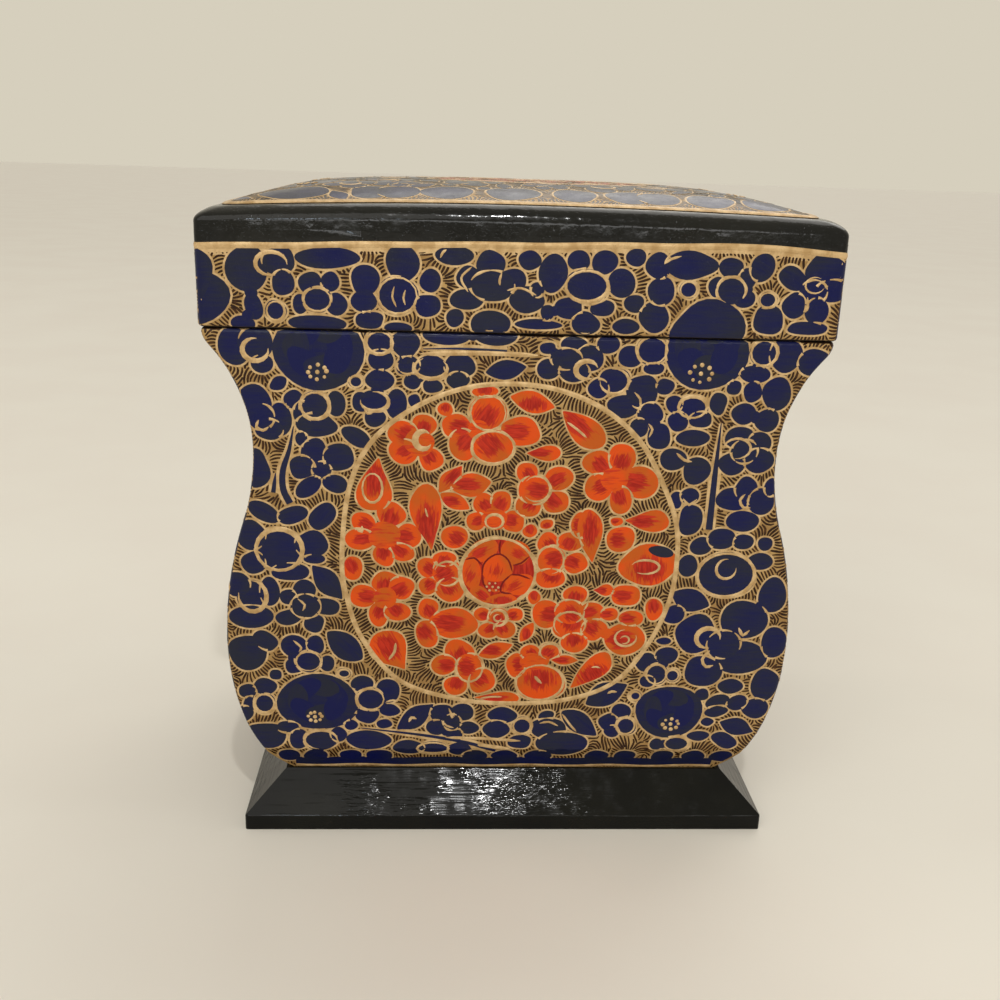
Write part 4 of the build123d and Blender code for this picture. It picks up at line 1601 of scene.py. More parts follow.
ROSES = [(-41.3, 104.0, 1.85, 1.5), (37.1, 105.4, 2.3, 1.8), (-43.2, 26.0, 1.5, 1.1), (37.1, 24.6, 1.8, 1.3)]
print(len(NAVY_RINGS), "rings,", len(NAVY_CURLS), "curls")

# %% [markdown]
# Orange flowers are grouped, because the red streaks in each petal run out from the
# flower's heart: the first pair is the heart, then come the petals.  Leaves stand alone.

# %% Orange flowers in the medallion
ORANGE_FLOWERS = [
    ((-8.5, 92.5), [(-6.5, 96.2, 3.6, 3.6), (-13, 93.4, 2.8, 2.2), (-11.6, 89.4, 2.6, 3.2, 10),
        (0.4, 92.4, 3.9, 2.8, -12), (-8.4, 92.5, 1.6, 1.8), (-5.3, 88.9, 4.3, 3.4)]),
    ((-20.5, 90), [(-19.6, 93.4, 2.4, 1.9), (-24, 91.6, 2.9, 2.3), (-23.8, 87.7, 2.9, 2.4),
        (-18.1, 86.1, 2.2, 2.2), (-20.6, 89.6, 2.6, 2.4)]),
    ((-27.6, 69.4), [(-26.4, 73.9, 2.8, 2.5), (-32.2, 72, 2.4, 1.9, -30), (-33, 68.2, 2.8, 2.2),
        (-22.8, 69, 2.5, 2.6), (-24, 65.4, 2.5, 1.7, -20), (-28, 64.6, 1.8, 2.4, 30),
        (-27.8, 69.2, 2.8, 2.6)]),
    ((-27.5, 54.6), [(-27.4, 58.4, 2.8, 2.3), (-24.2, 57.2, 2.6, 2.4), (-32.3, 55.2, 2.6, 2.4),
        (-29, 51, 1.9, 2.6), (-25, 51.6, 2.6, 1.9), (-27.6, 54.8, 2, 2)]),
    ((-15.8, 60), [(-18.5, 62, 2, 2), (-18.4, 57.7, 1.8, 1.7), (-14.3, 60.9, 2.9, 3.2),
        (-14.9, 64, 2.3, 1.4), (-13.6, 56.9, 2.8, 2.6)]),
    ((-10.2, 38.6), [(-11.2, 42, 3.3, 2.6, -30), (-14.6, 39, 2.6, 2.2), (-9, 38.3, 2.8, 3.3),
        (-12, 33.9, 2.3, 2.1), (-6.2, 35.2, 2.6, 2.8)]),
    ((-4.5, 73.6), [(-6.9, 76.6, 1.9, 2.1), (-3.2, 77, 1.9, 2.2), (-8.4, 72.6, 1.7, 1.9),
        (-0.4, 72.7, 2.1, 2.2), (-4.5, 73.2, 2.2, 2)]),
    ((5.2, 79.6), [(2.1, 83.6, 2, 1.9), (8.9, 82.4, 2.8, 2.3), (8.4, 77.2, 2.6, 2.2),
        (2.6, 76.2, 2.5, 2.2), (3.8, 79.8, 3.2, 3)]),
    ((20.8, 82.4), [(16.9, 86, 2.9, 2.4), (22, 87, 2.6, 3), (26.2, 81.8, 3.6, 3.3),
        (22.3, 77.8, 2.2, 2.8), (17.4, 80.6, 2.7, 2.8), (20.6, 82.4, 2.4, 2.2)]),
    ((10.2, 64.6), [(7.2, 68, 2, 2.1), (12, 68.3, 2.6, 1.9), (8.1, 64, 2.8, 3.2),
        (13.3, 63.4, 2.4, 2.1), (8, 59.8, 3, 2)]),
    ((13.4, 51.2), [(13.7, 56, 2.4, 1.8), (7.6, 51.4, 3, 3), (12.8, 48.8, 3.6, 3),
        (17.5, 52.1, 2.5, 1.9), (18.2, 47.8, 2.6, 2.3), (14, 44.6, 2.7, 2.1),
        (12.6, 52, 3, 2.6)]),
    ((6.4, 39.6), [(6.8, 34.8, 5.2, 4.2), (1.3, 39, 1.9, 2.6), (4.4, 42.2, 2, 1.5),
        (8.7, 42.4, 2.1, 1.8), (5.4, 40, 2.8, 1.6)]),
    ((-3, 49.4), [(-6.5, 51.2, 1.6, 1.3), (-3, 50.6, 2, 2), (0.6, 51.2, 1.6, 1.3),
        (-5, 47.4, 2, 1.6), (-1.5, 47.6, 2.2, 1.8)]),
    ((29.5, 59), [(29.3, 63.2, 6.2, 4.4)]), ((25.2, 45.6), [(25.2, 45.6, 4.2, 3.6)]),
    ((24, 50.6), [(26.3, 50.6, 2.6, 1.5)]), ((22.4, 56), [(24.8, 56, 2.9, 2.3)]),
    ((20, 69), [(22.8, 69, 2.8, 2.7)]), ((-11.2, 68), [(-12.9, 69, 2.6, 2.3)]),
    ((-17.4, 50.4), [(-18.3, 52.4, 1.9, 2.2)]), ((-18, 49.6), [(-12.7, 49, 4.8, 3.4)]),
    ((-20, 48), [(-18.5, 46.4, 2.1, 3.1, 12)]),
    ((3.2, 71.6), [(3.2, 70.6, 1.3, 1.2)]), ((-15.3, 97.6), [(-15.3, 96.8, 1.3, 1.2)]),
    ((21, 51.5), [(21.4, 51.5, 1.7, 1.3)]), ((31, 54.6), [(31.2, 52.8, 1.7, 2.3)]),
    ((4.7, 56.4), [(4.7, 55.3, 1.1, 1.3)]), ((6.7, 71.8), [(6.7, 72.2, 1.2, 0.8, 20)]),
    ((21.2, 73), [(21.7, 73, 1.1, 0.7)]), ((-35.4, 63.6), [(-34.5, 61.6, 1.8, 2.5)]),
    ((-7.2, 102), [(-7.2, 100.7, 2.4, 1)]),
]
ORANGE_LEAVES = [
    # middle, length and breadth from the middle, turn, kind, and where the red runs from
    (-29.8, 80.2, 5.6, 4.2, 82, "drop", 270), (-18.8, 73.4, 6.9, 3.9, -82, "drop", 90),
    (-14, 81.8, 3.3, 1.7, 50, "leaf", 230), (-9.6, 80.6, 4, 2.4, 8, "leaf", 0),
    (-13, 77, 3.3, 1.5, -28, "leaf", 0), (2.6, 98.7, 4.5, 2, -14, "leaf", 90),
    (13.2, 93.3, 5.6, 3.4, 140, "drop", -40), (5.4, 87.8, 3.3, 1.8, 180, "drop", 0),
    (28.3, 73.2, 4.4, 2.8, 180, "drop", 0), (16.2, 69.6, 5.9, 3, -83, "drop", 270),
    (13.9, 72, 1.7, 2.6, 0, "round", 0), (19.8, 57.2, 1.9, 1.4, 180, "drop", 0),
    (18, 37.6, 5.6, 3, 222, "drop", 120), (12, 40.4, 2.8, 0.9, 0, "leaf", 0),
    (3.4, 47, 2.4, 1.1, 60, "leaf", 90), (-26.3, 42.2, 5, 4.7, -56, "drop", -60),
    (-2.6, 31, 4.6, 1.5, 180, "drop", 0), (-3.4, 42.6, 3.6, 1.6, 22, "leaf", 0),
]
ORANGE_RINGS = [
    (-19.7, 90.2, 1.75, 1.9, 1.4, 10), (-6.5, 96.2, 3.7, 3.7, 0.5, None),
    (-30.3, 79.6, 2.1, 3.2, 0.6, None), (-4.5, 72.6, 1.9, 1.6, 0.7, None),
    (4.2, 80, 2.9, 2.8, 0.5, 180), (-14.3, 60.6, 2.8, 2.8, 0.6, 200),
    (-9, 38.3, 2.9, 3.4, 0.5, 90), (-3, 50.4, 1.9, 1.9, 0.8, 200),
    (-3.1, 50.4, 0.8, 0.8, 0.45, 30), (28.6, 62.7, 3.1, 1.6, 0.6, 200),
    (6.8, 34.8, 5.3, 4.3, 0.6, None), (25.4, 45.9, 2.4, 2, 0.6, 60),
    (25.2, 45.4, 1, 0.9, 0.45, 200), (8.7, 42.4, 2.2, 1.9, 0.5, -70),
    (7.9, 64, 2.9, 3.2, 0.5, 240), (-5.3, 88.9, 4.4, 3.5, 0.6, None),
    (12.8, 49, 3.5, 3, 0.5, -90),
]
ORANGE_CURLS = [
    ([(10, 94.6), (12, 93.2), (14.2, 91.4)], 0.5),
    ([(-33.8, 70.7), (-32.6, 70), (-32.5, 71.2)], 0.8),
    ([(5.6, 36.4), (6.2, 35.6), (7.2, 34.6)], 0.7),
    ([(18.2, 38.6), (19.2, 38.8), (20.2, 38.5)], 0.4),
    ([(-19.2, 75.4), (-18.9, 74.2), (-18.6, 73.4)], 0.4),
    ([(-26.8, 40.2), (-25.6, 42), (-25.3, 44.2)], 0.6),
    ([(-6.4, 30.8), (-4, 31.2), (-1.6, 31.2)], 0.45),
    ([(15.7, 52.4), (16.3, 53.4), (16.6, 54.4)], 0.4),
]
MEDALLION_EDGE = [
    (-1, 102.4), (8.5, 101.2), (18, 97.2), (26, 90.2), (31.8, 80), (34.6, 72.5),
    (35.4, 65), (34.6, 55.5), (30.8, 45), (23.7, 35.2), (13.5, 30.8), (1, 29.6),
    (-11.5, 30.6), (-24.2, 35), (-32.5, 45), (-36, 55.5), (-36.8, 65), (-35, 80),
    (-30, 90.2), (-21, 97.4), (-11, 101.4),
]
print(sum(len(petals) for _, petals in ORANGE_FLOWERS) + len(ORANGE_LEAVES), "orange petals and leaves")

# %% [markdown]
# The rose in the medallion's heart is larger and built up: a round of deep red, broad
# orange petals laid over it so that red shows between them, and pale drops for its eye.

# %% The medallion's rose
ROSE_DABS = [
    # middle, half length and breadth, turn, where the red fades to, and how red
    (-0.42, 0.64, 0.46, 0.30, 30, 25, 0.7), (0.46, 0.60, 0.42, 0.35, -38, 150, 0.6),
    (-0.72, -0.02, 0.26, 0.48, 8, 65, 0.6), (0.56, -0.34, 0.44, 0.31, 16, 30, 0.6),
    (-0.46, -0.64, 0.34, 0.20, -38, 140, 1.1), (0.14, -0.78, 0.42, 0.16, 4, 90, 1.1),
    (-0.02, -0.28, 0.36, 0.30, 0, 90, 1.2), (-0.02, 0.14, 0.43, 0.43, 0, 80, 0.6),
]
ROSE_SEAMS = [
    [(-0.42, -0.10), (-0.40, 0.22), (-0.20, 0.46), (0.04, 0.54), (0.28, 0.36), (0.40, 0.02)],
    [(0.05, 0.94), (0.02, 0.74), (0.05, 0.54)], [(-0.44, 0.22), (-0.66, 0.42), (-0.90, 0.36)],
    [(-0.42, -0.08), (-0.38, -0.34), (-0.24, -0.52)], [(0.34, -0.06), (0.58, -0.06), (0.90, -0.18)],
    [(0.36, -0.06), (0.14, -0.30), (0.10, -0.56), (0.40, -0.62)], [(0.40, 0.22), (0.62, 0.28), (0.84, 0.48)],
]


def shade_rose(sheet, u, v, ru, rv):
    """Darker and bluer touches, laid round a large bloom like petals folded in."""
    layer = sheet.placed[-1][6]
    for k in range(7):
        angle = 2 * math.pi * k / 7 + 0.4
        place = (u + 0.5 * ru * math.cos(angle), v + 0.5 * rv * math.sin(angle) + 0.08 * rv)
        shade = -0.1 if k % 2 else -0.95
        sheet.dab(*place, 0.42 * ru, 0.34 * rv, math.degrees(angle) + 90, tone=shade, layer=layer + 1 + k)


def aimed(angle, flip):
    """A direction, mirrored where flip is -1."""
    return angle if flip > 0 or angle is None else 180 - angle


def mirrored(path, flip):
    """A path, mirrored where flip is -1."""
    return [(flip * x, y) for x, y in path]


def medallion_rose(sheet, u, v, size, flip=1):
    """A full rose: red round, orange petals over it, dark seams, and pearls at its heart."""
    round_size = (size - PAINT_SPREAD, 0.97 * size - PAINT_SPREAD)
    sheet.petal(u, v, *round_size, paint="orange", tone=-1.0, lean=90, rim=0.7)
    sheet.ring(u, v, size + 0.25, 0.97 * size + 0.25, 0.75)
    layer = min(sheet.placed[-1][6], 4)
    for count, (x, y, rx, ry, turn, fades, red) in enumerate(ROSE_DABS):
        place = (u + flip * x * size, v + y * size, rx * size, ry * size, flip * turn)
        sheet.dab(*place, paint="orange", lean=aimed(fades, flip), tone=red, layer=layer + 1 + count)
    for path in ROSE_SEAMS:
        sheet.line([(u + flip * x * size, v + y * size) for x, y in path], 0.4, paint="orange")
    sheet.pearls(u - flip * 0.13 * size, v - 0.42 * size, 0.16 * size, 0.12 * size, 6, 0.26)


print("a rose has", len(ROSE_DABS), "dabs and", len(ROSE_SEAMS), "seams")

# %% [markdown]
# The whole front goes down in the painter's order: edge and stems, navy petals, orange
# petals, the rose, rings and curls, the row along the foot, and ink in what is left.  The
# back is its mirror twin, drawn by the same hand with other small differences.

# %% Paint the front and the back
RING_SHARE = 0.76
ROSE_PLACE, ROSE_SIZE = (-3.4, 61.0), 7.9
FOOT_LEVEL, FOOT_BUDS, BUD_LEVEL = 12.1, 15, 15.6


def entry(item, flip):
    """A petal's place, radii, turn and kind, filled up and mirrored where flip is -1."""
    x, y, rx, ry, turn, kind = (*item, *(0.0, "round")[len(item) - 4:])[:6]
    return flip * x, y, rx, ry, 180 - turn if kind == "drop" and flip < 0 else flip * turn, kind


def paint_edge(sheet, flip):
    """The medallion's edge, and the stems and bars beside it."""
    sheet.line(mirrored(MEDALLION_EDGE, flip), 1.05, closed=True, take=True)
    for path, width in FRONT_STEMS:
        path = mirrored(path, flip)
        sheet.line(path, [0.8] + [width + 1.1] * 2, height=GOLD_H, take=True, taper=False)
        sheet.line(path, [0.2, 0.8 * width, width], paint="navy", height=FILL_H, taper=False)
    for path, width in FRONT_BARS:
        sheet.line(mirrored(path, flip), width, take=True)


def paint_orange(sheet, flip):
    """The orange petals, whose red runs out from each flower's heart, and the leaves."""
    for heart, petals in ORANGE_FLOWERS:
        for item in petals:
            u, v, ru, rv, turn, kind = entry(item, flip)
            du, dv = u - flip * heart[0], v - heart[1]
            if math.hypot(dv, du) < 1.1 and len(petals) > 3:
                sheet.dab(u, v, ru + 0.5, rv + 0.5, turn, kind, paint="orange", tone=-0.3)
                sheet.take(u, v, ru + 0.5, rv + 0.5)
            else:
                aim = math.degrees(math.atan2(dv, du))
                sheet.petal(u, v, ru, rv, turn, kind, paint="orange", lean=aim, tone=1.0)
    for x, y, rx, ry, turn, kind, aim in ORANGE_LEAVES:
        ways = {"turn": aimed(turn, flip), "lean": aimed(aim, flip)}
        sheet.petal(flip * x, y, rx, ry, kind=kind, paint="orange", tone=1.0, **ways)


def paint_foot(sheet):
    """The gold line along the foot, and a navy band and row of buds over it, partly painted shade on the
    turned-under strip.
    """
    foot = np.array([(x, FOOT_LEVEL + 0.2 * math.sin(x * 0.33)) for x in range(-48, 49, 4)])
    sheet.line(foot, 0.8, taper=False, take=True)
    # partly painted shade: the navy band and buds darken the turned-under strip, which lies in shadow
    sheet.line(foot + (0, 1.6), 2.5, paint="navy", height=GOLD_H, taper=False, take=True)
    for k in range(FOOT_BUDS):
        u, size = -50 + 7.1 * k + sheet.chance.uniform(-1.2, 1.2), sheet.chance.uniform(2.0, 3.4)
        if sheet.is_free(u, BUD_LEVEL + 0.3, 1.4, 0.3):
            sheet.petal(u, BUD_LEVEL, size, 1.7)


def paint_front(sheet, flip=1):
    """The front's drawing; flip is -1 for its mirror twin on the back."""
    paint_edge(sheet, flip)
    for item in NAVY_PETALS:
        sheet.petal(*entry(item, flip))
        if item[2] > 7:
            shade_rose(sheet, flip * item[0], *item[1:4])
    paint_orange(sheet, flip)
    medallion_rose(sheet, flip * ROSE_PLACE[0], ROSE_PLACE[1], ROSE_SIZE, flip)
    sheet.dab(flip * 31.8, 66.3, 2.9, 1.2, flip * -12, tone=-0.2, layer=TOP_LAYER)
    for x, y, rx, ry, width, gap in NAVY_RINGS + ORANGE_RINGS:
        sheet.ring(flip * x, y, rx, ry, RING_SHARE * width, aimed(gap, flip))
    for path, width in NAVY_CURLS + ORANGE_CURLS:
        sheet.line(mirrored(path, flip), width)
    for x, y, rx, ry in ROSES:
        sheet.pearls(flip * x, y, rx, ry)
    paint_foot(sheet)
    fill_with_ink(sheet)


FRONT_FOLDS = soft_edge_folds(half_front, EDGE_ROUND, high=RIM) + fold_lines([TUCK_Z])
front_sheet = Sheet("front", PLINTH_TOP, RIM, half_front, wrap_front, 0.2, 11, FRONT_FOLDS)
back_sheet = Sheet("back", PLINTH_TOP, RIM, half_front, wrap_back, 0.2, 12, FRONT_FOLDS)
paint_front(front_sheet)
paint_front(back_sheet, flip=-1)

# %% [markdown]
# ## Strewn flowers
#
# The ends of the box and the lid's other walls carry the same flowers without a plan: the
# painter sets large blooms first, then smaller ones where there is room, then leaves and
# buds in what is left.  The rule does that with a fixed seed: a spot is tried, and if the
# ground there is free the motif goes down.

# %% Strew flowers over a sheet
BLOOM_TRIES, LEAF_TRIES, BUD_TRIES = 1200, 1800, 2400


def bloom(sheet, u, v, size, paint="navy"):
    """A flower of four to six petals round a ring or two curls."""
    count = int(sheet.chance.integers(4, 7))
    first = sheet.chance.uniform(0, 360)
    tone = None if paint == "navy" else 1.0
    heart = (u, v, 0.62 * size)
    for k in range(count):
        angle = first + 360 * k / count + sheet.chance.uniform(-8, 8)
        du, dv = turned(size * sheet.chance.uniform(0.56, 0.64), 0.0, angle)
        wide = size * 2.0 / count * sheet.chance.uniform(0.85, 1.05)
        sheet.petal(u + du, v + dv, size * 0.42, wide, angle, paint=paint, lean=angle, tone=tone, heart=heart)
    sheet.petal(u, v, size * 0.36, size * 0.36, paint=paint, tone=tone, heart=(u, v, size))
    if sheet.chance.random() < 0.6:
        gap = None if sheet.chance.random() < 0.5 else sheet.chance.uniform(0, 360)
        sheet.ring(u, v, size * 0.40, size * 0.36, sheet.chance.uniform(0.55, 1.0), gap)
    else:
        for k in range(2):
            turn = math.radians(first + 180 * k + 30)
            start, end = (np.array([u + far * math.cos(way), v + far * math.sin(way)])
                          for far, way in ((size * 0.7, turn), (size * 0.2, turn + 1)))
            sheet.line([start, (start + end) / 2 + 0.3, end], 0.5)


def rose(sheet, u, v, size):
    """A full round bloom with a ring of pale drops low in it."""
    sheet.petal(u, v, size, size * 0.84, rim=0.75)
    sheet.pearls(u + 0.1 * size, v - 0.42 * size, 0.24 * size, 0.18 * size)


def strew(sheet, sizes=(5.6, 4.6, 3.8), paint="navy", inside=None):
    """Try blooms from large to small, then leaves, then buds, wherever the ground is free."""
    def spots(count):
        for _ in range(count):
            u = sheet.chance.uniform(-sheet.wide, sheet.wide)
            v = sheet.chance.uniform(sheet.low, sheet.high)
            if inside is None or inside(u, v):
                yield u, v

    tone = None if paint == "navy" else 1.0
    made = 0
    for size in sizes:
        for u, v in spots(BLOOM_TRIES):
            if sheet.is_free(u, v, size * 0.98, 0.06):
                bloom(sheet, u, v, size, paint)
                made += 1
    for u, v in spots(LEAF_TRIES):
        turn = sheet.chance.uniform(0, 360)
        if sheet.is_free(u, v, 2.5, 0.07):
            kind = "leaf" if sheet.chance.random() < 0.5 else "drop"
            sheet.petal(u, v, 3.0, 1.6, turn, kind, paint=paint, tone=tone)
            made += 1
    for u, v in spots(BUD_TRIES):
        if sheet.is_free(u, v, 1.75, 0.04):
            sheet.petal(u, v, 1.25, 1.0, sheet.chance.uniform(0, 360), paint=paint, tone=tone)
            made += 1
    print(sheet.name, "strewn with", made, "motifs")


print("up to", BLOOM_TRIES + LEAF_TRIES + BUD_TRIES, "tries for a sheet")

# %% [markdown]
# Each end of the box takes five given roses before the strewn flowers.

# %% Paint the sides
SIDE_ROSES = ((-22, 92), (20, 88), (-3, 62), (-24, 34), (24, 37))
FOLD_PITCH = 1.5


def straight(width):
    """The half width of a face that is as wide at every height."""
    return lambda v: np.full_like(np.asarray(v, float), width)


def strewn_side(name, facing, seed):
    """A body side: roses, strewn flowers, and the gold line at its foot."""
    half = straight(FACE_DEPTH)
    folds = soft_edge_folds(half, EDGE_ROUND, high=SIDE_TOP)
    folds += fold_lines(np.arange(FOLD_PITCH, SIDE_TOP, FOLD_PITCH))
    sheet = Sheet(name, 0.0, SIDE_TOP, half, side_wrap(facing), 0.2, seed, folds)
    foot = [(u, 1.3 + 0.35 * math.sin(u * 0.4)) for u in range(-40, 41, 4)]
    sheet.line(foot, 1.2, taper=False, take=True)
    for u, v in SIDE_ROSES:
        rose(sheet, u + sheet.chance.uniform(-2, 2), v + sheet.chance.uniform(-2, 2), 7.8)
    strew(sheet)
    fill_with_ink(sheet, 0.15)
    return sheet


left_sheet = strewn_side("left", -1, 21)
right_sheet = strewn_side("right", 1, 22)

# %% [markdown]
# ## The lid's walls
#
# A gold line runs round the top of the lid's walls where the black shoulder begins.  Under
# it the front wall has its own row of navy flowers; the other three are strewn.

# %% Flowers on the lid's front wall
LID_PETALS = [
    (-65.8, 119, 7.3, 5.6), (-65.4, 123.3, 4, 4.8), (-54.6, 124.3, 3.9, 4.3),
    (-48.4, 126, 3, 2.5), (-47.6, 121.8, 2, 2.3), (-53.5, 117, 1.5, 2.5, 15),
    (-55.7, 113.6, 2.2, 1.3), (-49.2, 116.2, 1.8, 1.9), (-38.9, 126.8, 6.2, 1.8),
    (-42.3, 121.8, 2.1, 2), (-38.4, 122.2, 1.6, 1.7), (-44.3, 117.7, 1.3, 1.7),
    (-37.2, 117.8, 1.9, 2), (-41, 118.6, 2.6, 2.3), (-41, 113.8, 5.6, 1.5),
    (-31.5, 122.7, 2.7, 2.7), (-31.8, 118.6, 2.3, 2), (-24.2, 126.2, 3.1, 3.4),
    (-25.2, 119.8, 3.9, 3.6), (-18.7, 122.9, 1.9, 2), (-19.2, 118, 2.4, 2),
    (-30.7, 114.8, 2.6, 1.5), (-25, 113.4, 2.5, 0.9), (-14, 127.9, 3.6, 1.6),
    (-13.7, 115.7, 1.5, 1.6), (-6.8, 126.6, 2.6, 2.3), (-11.2, 123.8, 2.1, 2),
    (-2.5, 123.4, 2.6, 2.1), (-11.4, 119.4, 3.2, 1.8), (0.6, 119.6, 3.4, 2.3),
    (-6.4, 122.2, 4.2, 2.8), (-6.6, 114.6, 3.8, 2.5), (0.9, 127.4, 2, 1.7),
    (2.6, 121.7, 1.1, 1.3), (3, 114.8, 4.4, 0.8), (4.8, 117.2, 1.1, 1.4), (5.6, 125, 2.7, 3.5),
    (10.6, 127.6, 2.1, 1.7), (15.8, 127.4, 2.4, 2.1), (19.4, 123.4, 2.6, 2.6),
    (9, 118.2, 2.6, 2), (15.8, 118.4, 2.2, 1.5), (12.6, 122.6, 4.2, 3.1, -18),
    (12.6, 115.2, 2.6, 2.1), (22, 128.5, 1.8, 1.5), (22.2, 119.4, 1.9, 1.5),
    (26.4, 116.8, 2.8, 2.9), (20.8, 114.8, 2.5, 1.3), (27.5, 122, 2.5, 2.6),
    (26.6, 127, 2.3, 2.4), (33, 127.3, 5, 2.6), (33, 122.5, 1.6, 1.5),
    (41.2, 127, 2.2, 1.8), (38.6, 123.2, 1.4, 1.8), (44.8, 125, 1.7, 1.8),
    (44.5, 120.9, 2, 1.5), (41.6, 122.6, 2.8, 2.5), (37.8, 114, 7.4, 6.3),
    (47.6, 127.2, 2.2, 2.6, -30), (54, 125.2, 3, 1.9, -25), (60.5, 127, 4, 3),
    (62.4, 123, 3.4, 2), (58.4, 122.6, 2.6, 2.2), (54.8, 119.8, 2.2, 2.4),
    (59.5, 118.8, 2.2, 2.5), (58, 115.3, 4, 1.1), (49.8, 116.8, 3, 2.7),
    (49.3, 120.8, 1.6, 1.4),
]
LID_RINGS = [
    (-49.8, 125.4, 3.1, 2.3, 0.9, -40), (-49.2, 116.2, 1.8, 1.9, 0.6, None),
    (-41, 118.6, 2.7, 2.3, 0.5, None), (-25.2, 119.8, 3.9, 3.6, 0.6, None),
    (12.5, 122.6, 4.3, 3.1, 0.9, None), (33, 122.5, 1.7, 1.6, 0.5, None),
    (41.6, 122.6, 2.9, 2.6, 0.5, -70), (49.3, 120.8, 1.7, 1.5, 0.5, None),
    (58.6, 124, 2, 1.6, 0.4, 20),
]
LID_CURLS = [
    ([(-25.8, 121.6), (-26.2, 119.6), (-25.4, 117.6)], 0.4),
    ([(-23.6, 121), (-24, 119.4), (-23.6, 118)], 0.4),
    ([(-10.6, 125.8), (-12.6, 123.6), (-11.2, 120.9)], 0.45),
    ([(-4.6, 124.8), (-5, 123.4), (-4.9, 122.4)], 0.5),
    ([(-3.4, 121.4), (-0.6, 121.9), (2.4, 120.6)], 0.45),
    ([(27.7, 127.4), (29, 128.4), (31, 129)], 0.5),
    ([(28.4, 125.4), (29.6, 124.4), (31.4, 124.2)], 0.5),
    ([(-16.8, 127.4), (-16.3, 128.5), (-15.6, 129)], 0.5),
    ([(57.3, 121.6), (57.6, 119.6), (57.2, 118.6)], 0.5),
]
print(len(LID_PETALS), "petals on the lid's front wall")

# %% [markdown]
# The gold line is not quite level, as the settled lid shows: it is a wave, given by its
# rise at a few places along the front.

# %% Paint the lid's walls
BAND_WAVE = [(-64.7, -1.4), (-45, -0.75), (-22, 0.0), (0, 0.4), (22, 0.95), (40, 1.25), (52, 1.2),
             (64.7, 0.0)]
BAND_LEVEL, WALL_TOP = 129.85, 132.4


def band_line(width, turn):
    """The gold line along one wall; turn is which wall, in degrees from the front."""
    count = int(2 * width / 5)
    path = []
    for k in range(count + 1):
        u = width * (2 * k / count - 1)
        x = {0: u, 90: BAND_WAVE[-1][0], 180: -u, 270: BAND_WAVE[0][0]}[turn]
        path.append((u, BAND_LEVEL + np.interp(x, *zip(*BAND_WAVE)) + 0.08 * math.sin(1.3 * k)))
    return np.array(path)


def lid_wall_sheet(name, turn, seed):
    """A lid wall with its gold line along the top."""
    width = LID_HALF if turn % 180 == 0 else LID_DEPTH
    half = straight(width)
    folds = soft_edge_folds(half, CORNER_ROUND) + fold_lines([LID_LOW + 0.3, LID_LOW + 0.9])
    sheet = Sheet(name, LID_LOW, WALL_TOP, half, lid_wall_wrap(turn), 0.3, seed, folds)
    path = band_line(width, turn)
    sheet.line(path - (0, 0.95), 1.9, height=BASE_H, taper=False)
    sheet.line(path + (0, 1.9), 3.7, paint="lacquer", height=BASE_H, taper=False)
    sheet.line(path, 1.2, taper=False, take=True)
    sheet.ceiling = path.T
    sheet.taken |= sheet.vs[:, None] > np.interp(sheet.us, *sheet.ceiling)[None, :]
    return sheet


lid_front = lid_wall_sheet("lid_front", 0, 31)
for petal in LID_PETALS:
    lid_front.petal(*petal)
for x, y, rx, ry, width, gap in LID_RINGS:
    lid_front.ring(x, y, rx, ry, RING_SHARE * width, gap)
for path, width in LID_CURLS:
    lid_front.line(path, width)
fill_with_ink(lid_front)

lid_others = [lid_wall_sheet("lid_right", 90, 32), lid_wall_sheet("lid_back", 180, 33),
              lid_wall_sheet("lid_left", 270, 34)]
for sheet in lid_others:
    strew(sheet, sizes=(5.4, 4.2))
    fill_with_ink(sheet, 0.15)

# %% [markdown]
# ## The pillowed top
#
# The drawing is flat, as before; its wrap looks up how high the pillow stands at each
# spot, by asking which of the rounded rectangles passes through it.

# %% The top's height and ground
TOP_HALF, TOP_DEPTH = LID_HALF - SHOULDER_INSET, LID_DEPTH - SHOULDER_INSET
GROUND_INSET, GROUND_STEP, GROUND_ROWS, GROUND_LIFT = 0.2, 1.6, 22, 0.015


def pillow_height(x, y):
    """Height of the shell over a spot of its plan."""
    low, high = np.zeros_like(x), np.ones_like(x)
    for _ in range(24):
        share = (low + high) / 2
        radius = SHOULDER_CORNER + share * (PLATEAU_CORNER - SHOULDER_CORNER)
        across = np.abs(x) - (TOP_HALF - share * PILLOW_RUN - radius)
        along = np.abs(y) - (TOP_DEPTH - share * PILLOW_RUN - radius)
        beyond = np.hypot(np.maximum(across, 0), np.maximum(along, 0))
        outside = beyond + np.minimum(np.maximum(across, along), 0) > radius
        low, high = np.where(outside, low, share), np.where(outside, share, high)
    share = (low + high) / 2
    height = LID_BAND_TOP + SHOULDER_RISE + PILLOW_RISE * (1 - (1 - share) ** 2)
    return height - settle(x, height)


def half_top(v):
    """Half width of the top inside its rounded corners."""
    into = np.clip(np.abs(v) - (TOP_DEPTH - SHOULDER_CORNER), 0, SHOULDER_CORNER)
    return TOP_HALF - SHOULDER_CORNER + np.sqrt(SHOULDER_CORNER ** 2 - into ** 2)


def wrap_top(u, v, h):
    """Lay the drawing on the pillow."""
    return np.stack([u, v, pillow_height(u, v) + h], axis=1)


def top_ground():
    """A thin coat of gold over the whole top, inside the black shoulder."""
    loops = []
    for k in range(GROUND_ROWS):
        half_x, half_y = (half - GROUND_INSET - k * GROUND_STEP for half in (TOP_HALF, TOP_DEPTH))
        loop = np.array(rounded_loop(half_x, half_y, min(SHOULDER_CORNER - GROUND_INSET, half_y * 0.9), 0))
        loops.append(np.column_stack([loop[:, :2], pillow_height(loop[:, 0], loop[:, 1]) + GROUND_LIFT]))
    count = len(loops[0])
    last = (GROUND_ROWS - 1) * count
    faces = [tuple(range(last, last + count)), *band_faces(GROUND_ROWS, count)]
    return mesh_object("top_gold_ground", np.concatenate(loops), faces, PAINTS["gold_ground"])


